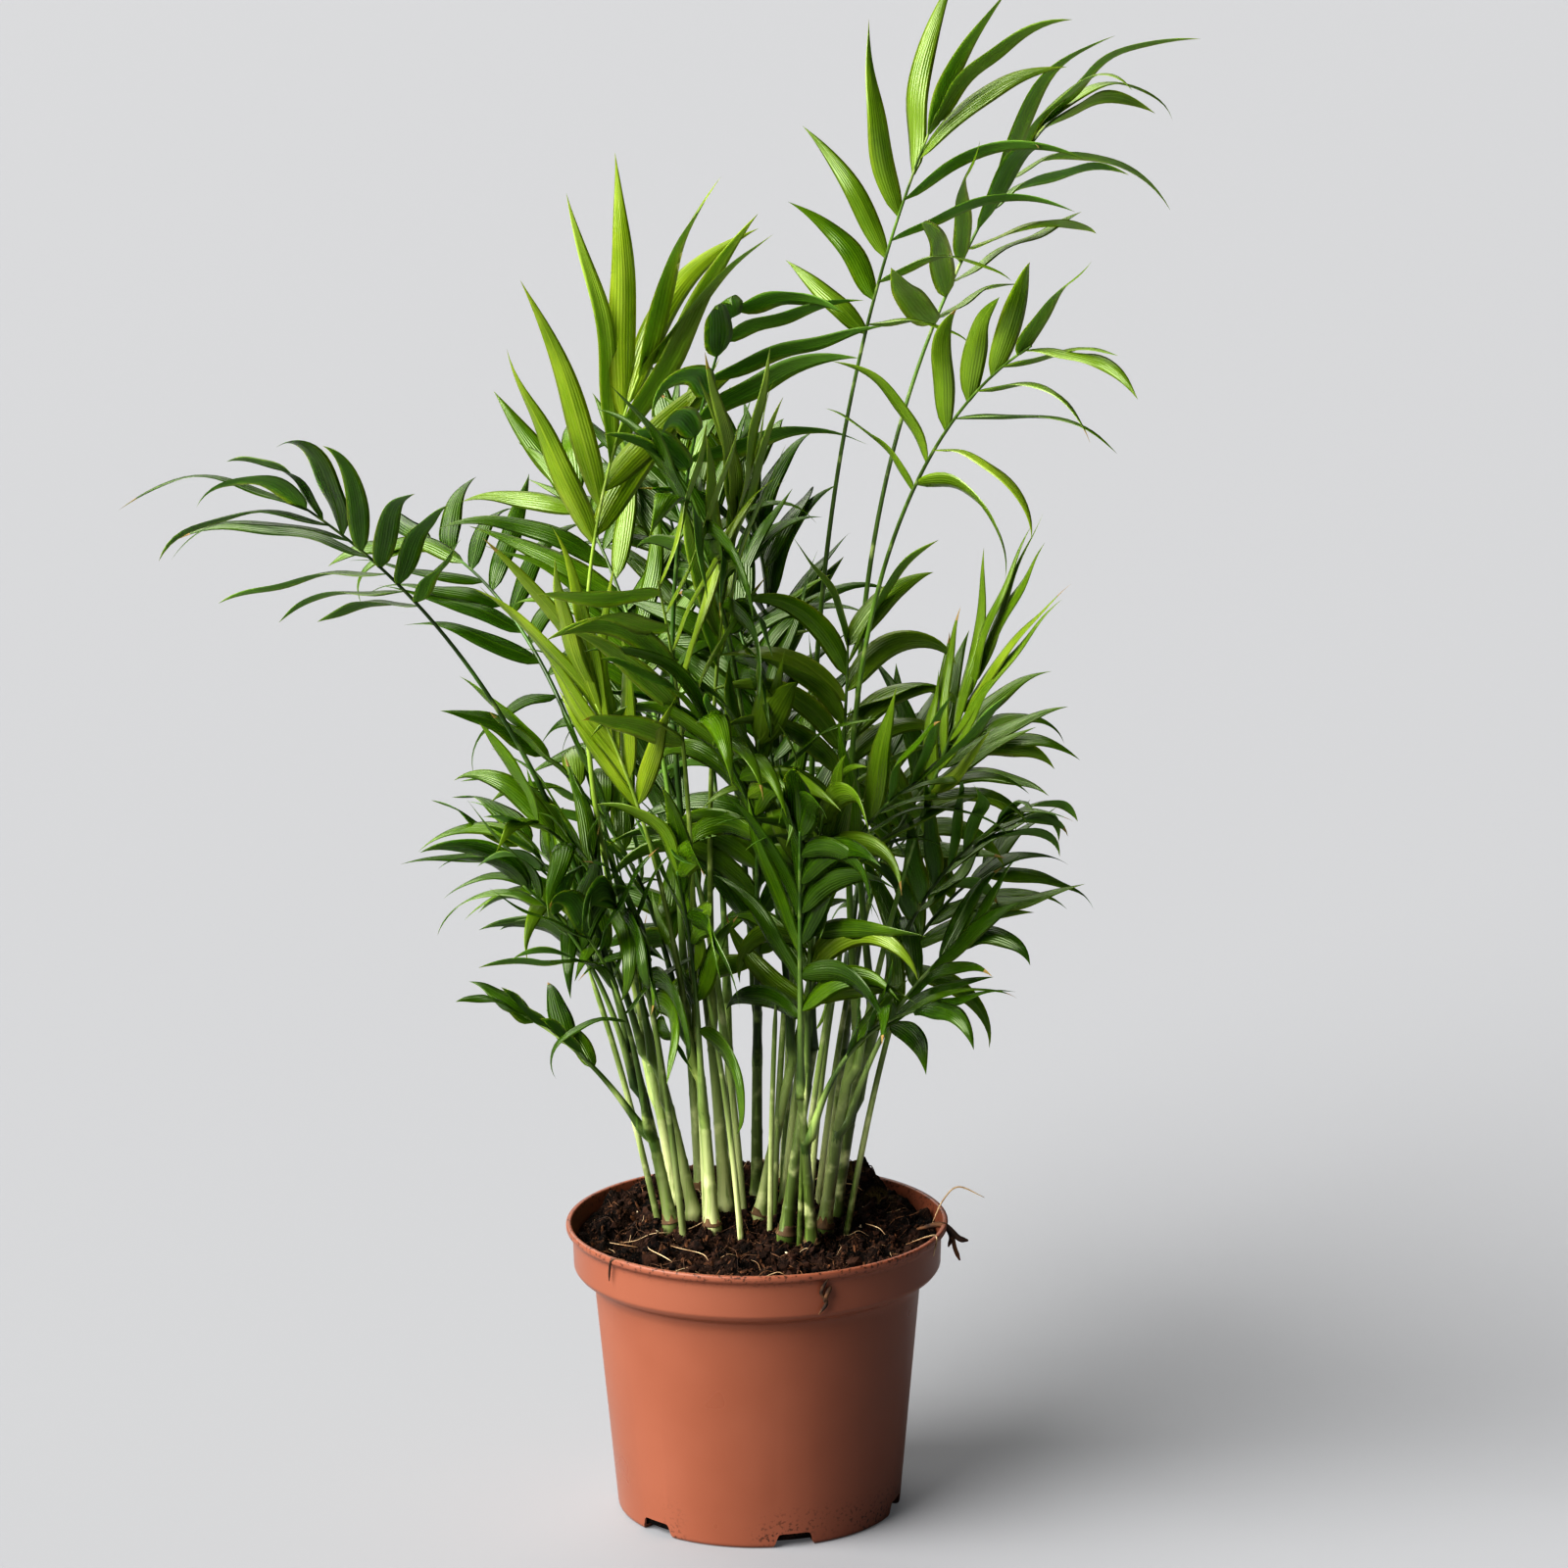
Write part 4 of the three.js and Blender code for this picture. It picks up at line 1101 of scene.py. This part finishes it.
def leaf_look(name, dark, light, roughness, veins):
    material, tree, shader = new_material(name, roughness)
    shader.inputs["Specular IOR Level"].default_value = 0.66
    # Light that falls on one side of a thin leaflet glows through to the other.
    shader.inputs["Subsurface Weight"].default_value = 0.22
    shader.inputs["Subsurface Radius"].default_value = (0.7, 1.0, 0.15)
    shader.inputs["Subsurface Scale"].default_value = 0.0015
    shader.inputs["Specular Tint"].default_value = colour(244, 255, 224)
    lines = node(tree, "ShaderNodeGroup", {"Veins": veins}, node_tree=pleats).outputs
    grain = add_mottle(tree, 55, 1200)
    base = blend_colours(tree, ramp(tree, grain["Patches"], 0.34, 0.66), dark, light)
    striped = blend_colours(tree, ramp(tree, lines["Lines"], 0.0, 2.2), base, light)
    paint(tree, shader, blend_colours(tree, lines["Rib"], striped, light))
    add_bump(tree, shader, lines["Lines"], 0.3, 0.0002)
    return material


leaf_tops = {
    "deep": (colour(36, 62, 2), colour(58, 86, 8)),
    "forest": (colour(58, 88, 6), colour(84, 113, 16)),
    "mid": (colour(80, 106, 16), colour(104, 129, 34)),
    "fresh": (colour(104, 127, 26), colour(126, 146, 46)),
    "young": (colour(106, 131, 18), colour(136, 156, 42)),
}
leaf_backs = {
    "deep": (colour(54, 86, 20), colour(72, 106, 32)),
    "forest": (colour(74, 112, 28), colour(92, 130, 40)),
    "mid": (colour(96, 126, 34), colour(116, 144, 48)),
    "fresh": (colour(116, 142, 50), colour(134, 156, 64)),
    "young": (colour(126, 154, 46), colour(150, 176, 62)),
}
dry_tip = leaf_look("dry_leaf_tip", colour(120, 92, 50), colour(158, 128, 78), 0.7, 7)
stalk_colours = {
    "old": (colour(164, 186, 106), colour(76, 112, 40)),
    "green": (colour(184, 202, 124), colour(112, 148, 58)),
    "yellow": (colour(206, 218, 140), colour(156, 184, 76)),
}
for kind, bundle in stalks.items():
    look = cane_look("stalk_" + kind, *stalk_colours[kind], 0.36, 0.11, 0.21)
    piece = bundle.make("frond_stalks_" + kind, [look])
    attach(piece, "root")
for tone, bundle in leaves.items():
    top_look = leaf_look("leaf_top_" + tone, *leaf_tops[tone], 0.23, 9)
    back_look = leaf_look("leaf_back_" + tone, *leaf_backs[tone], 0.55, 9)
    piece = bundle.make("leaflets_" + tone, [top_look, back_look, dry_tip])
    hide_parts(*["frond_%02d" % k for k, row in enumerate(FRONDS, 1) if row[9] == tone])
    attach(piece, "root")


# ---- Studio -------------------------------------------------------------------------------
# A plain pale floor that runs out of view, a broad soft light from the left and a little in
# front, a weak one from behind for the sheen, hardly any fill, and a camera a little above the
# crown, 1.7 m away with a long lens.

floor_form = bmesh.new()
bmesh.ops.create_grid(floor_form, x_segments=1, y_segments=1, size=14)
floor = show("floor", take_mesh("floor", floor_form))
paper, tree, shader = new_material("pale_floor", 0.9)
shader.inputs["Base Color"].default_value = colour(142, 143, 146)
# Seen straight on, the paper glows a little in the room's tone: a painted fill that lifts its shade and the
# shadows cast on it.
room_tone = colour(206, 207, 210)
shader.inputs["Emission Color"].default_value = room_tone
looked_at = node(tree, "ShaderNodeLightPath").outputs["Is Camera Ray"]
tree.links.new(both(tree, looked_at, 0.1), shader.inputs["Emission Strength"])
floor.data.materials.append(paper)
floor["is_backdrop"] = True

# name, strength, breadth in degrees, tint, and where it shines from
for name, energy, breadth, tint, lamp_from in (
    ("key", 6.5, 58, (1, 0.985, 0.96), (-0.848, -0.53, 0.72)),
    ("sheen", 1.3, 60, (1, 0.99, 0.95), (-0.3, 0.75, 0.8)),
):
    light = bpy.data.lights.new(name, "SUN")
    light.energy = energy
    light.angle = math.radians(breadth)
    light.color = tint
    show(name, light).rotation_euler = (-Vector(lamp_from)).to_track_quat("-Z", "Y").to_euler()

world = bpy.data.worlds.new("studio")
bpy.context.scene.world = world
world.use_nodes = True
tree = world.node_tree
sky = tree.nodes["Background"]
sky.inputs["Color"].default_value = colour(226, 232, 240)
sky.inputs["Strength"].default_value = 0.045
# Seen straight on, the room behind is as pale as the floor.
room = node(tree, "ShaderNodeBackground", {"Color": room_tone, "Strength": 0.5})
seen = node(tree, "ShaderNodeLightPath").outputs["Is Camera Ray"]
choose = node(tree, "ShaderNodeMixShader", {0: seen, 1: sky.outputs[0], 2: room.outputs[0]})
tree.links.new(choose.outputs[0], tree.nodes["World Output"].inputs["Surface"])
bpy.context.scene.view_settings.view_transform = "Standard"
bpy.context.scene.view_settings.look = "High Contrast"

camera_place = Vector((0.0007, -1.6236, 0.5971))
pitch, yaw, roll = math.radians(12.65), math.radians(0.31), math.radians(0.42)
forward = Vector((math.sin(yaw) * math.cos(pitch), math.cos(yaw) * math.cos(pitch), -math.sin(pitch)))
right = Vector((math.cos(yaw), -math.sin(yaw), 0))
upward = right.cross(forward)
right_rolled = right * math.cos(roll) - upward * math.sin(roll)
up_rolled = right * math.sin(roll) + upward * math.cos(roll)
camera_data = bpy.data.cameras.new("camera")
camera_data.sensor_width = 36
camera_data.lens = 123.9
camera = show("camera", camera_data)
turned = Matrix((right_rolled, up_rolled, -forward)).transposed().to_4x4()
camera.matrix_world = Matrix.Translation(camera_place) @ turned
bpy.context.scene.camera = camera

low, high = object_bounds()
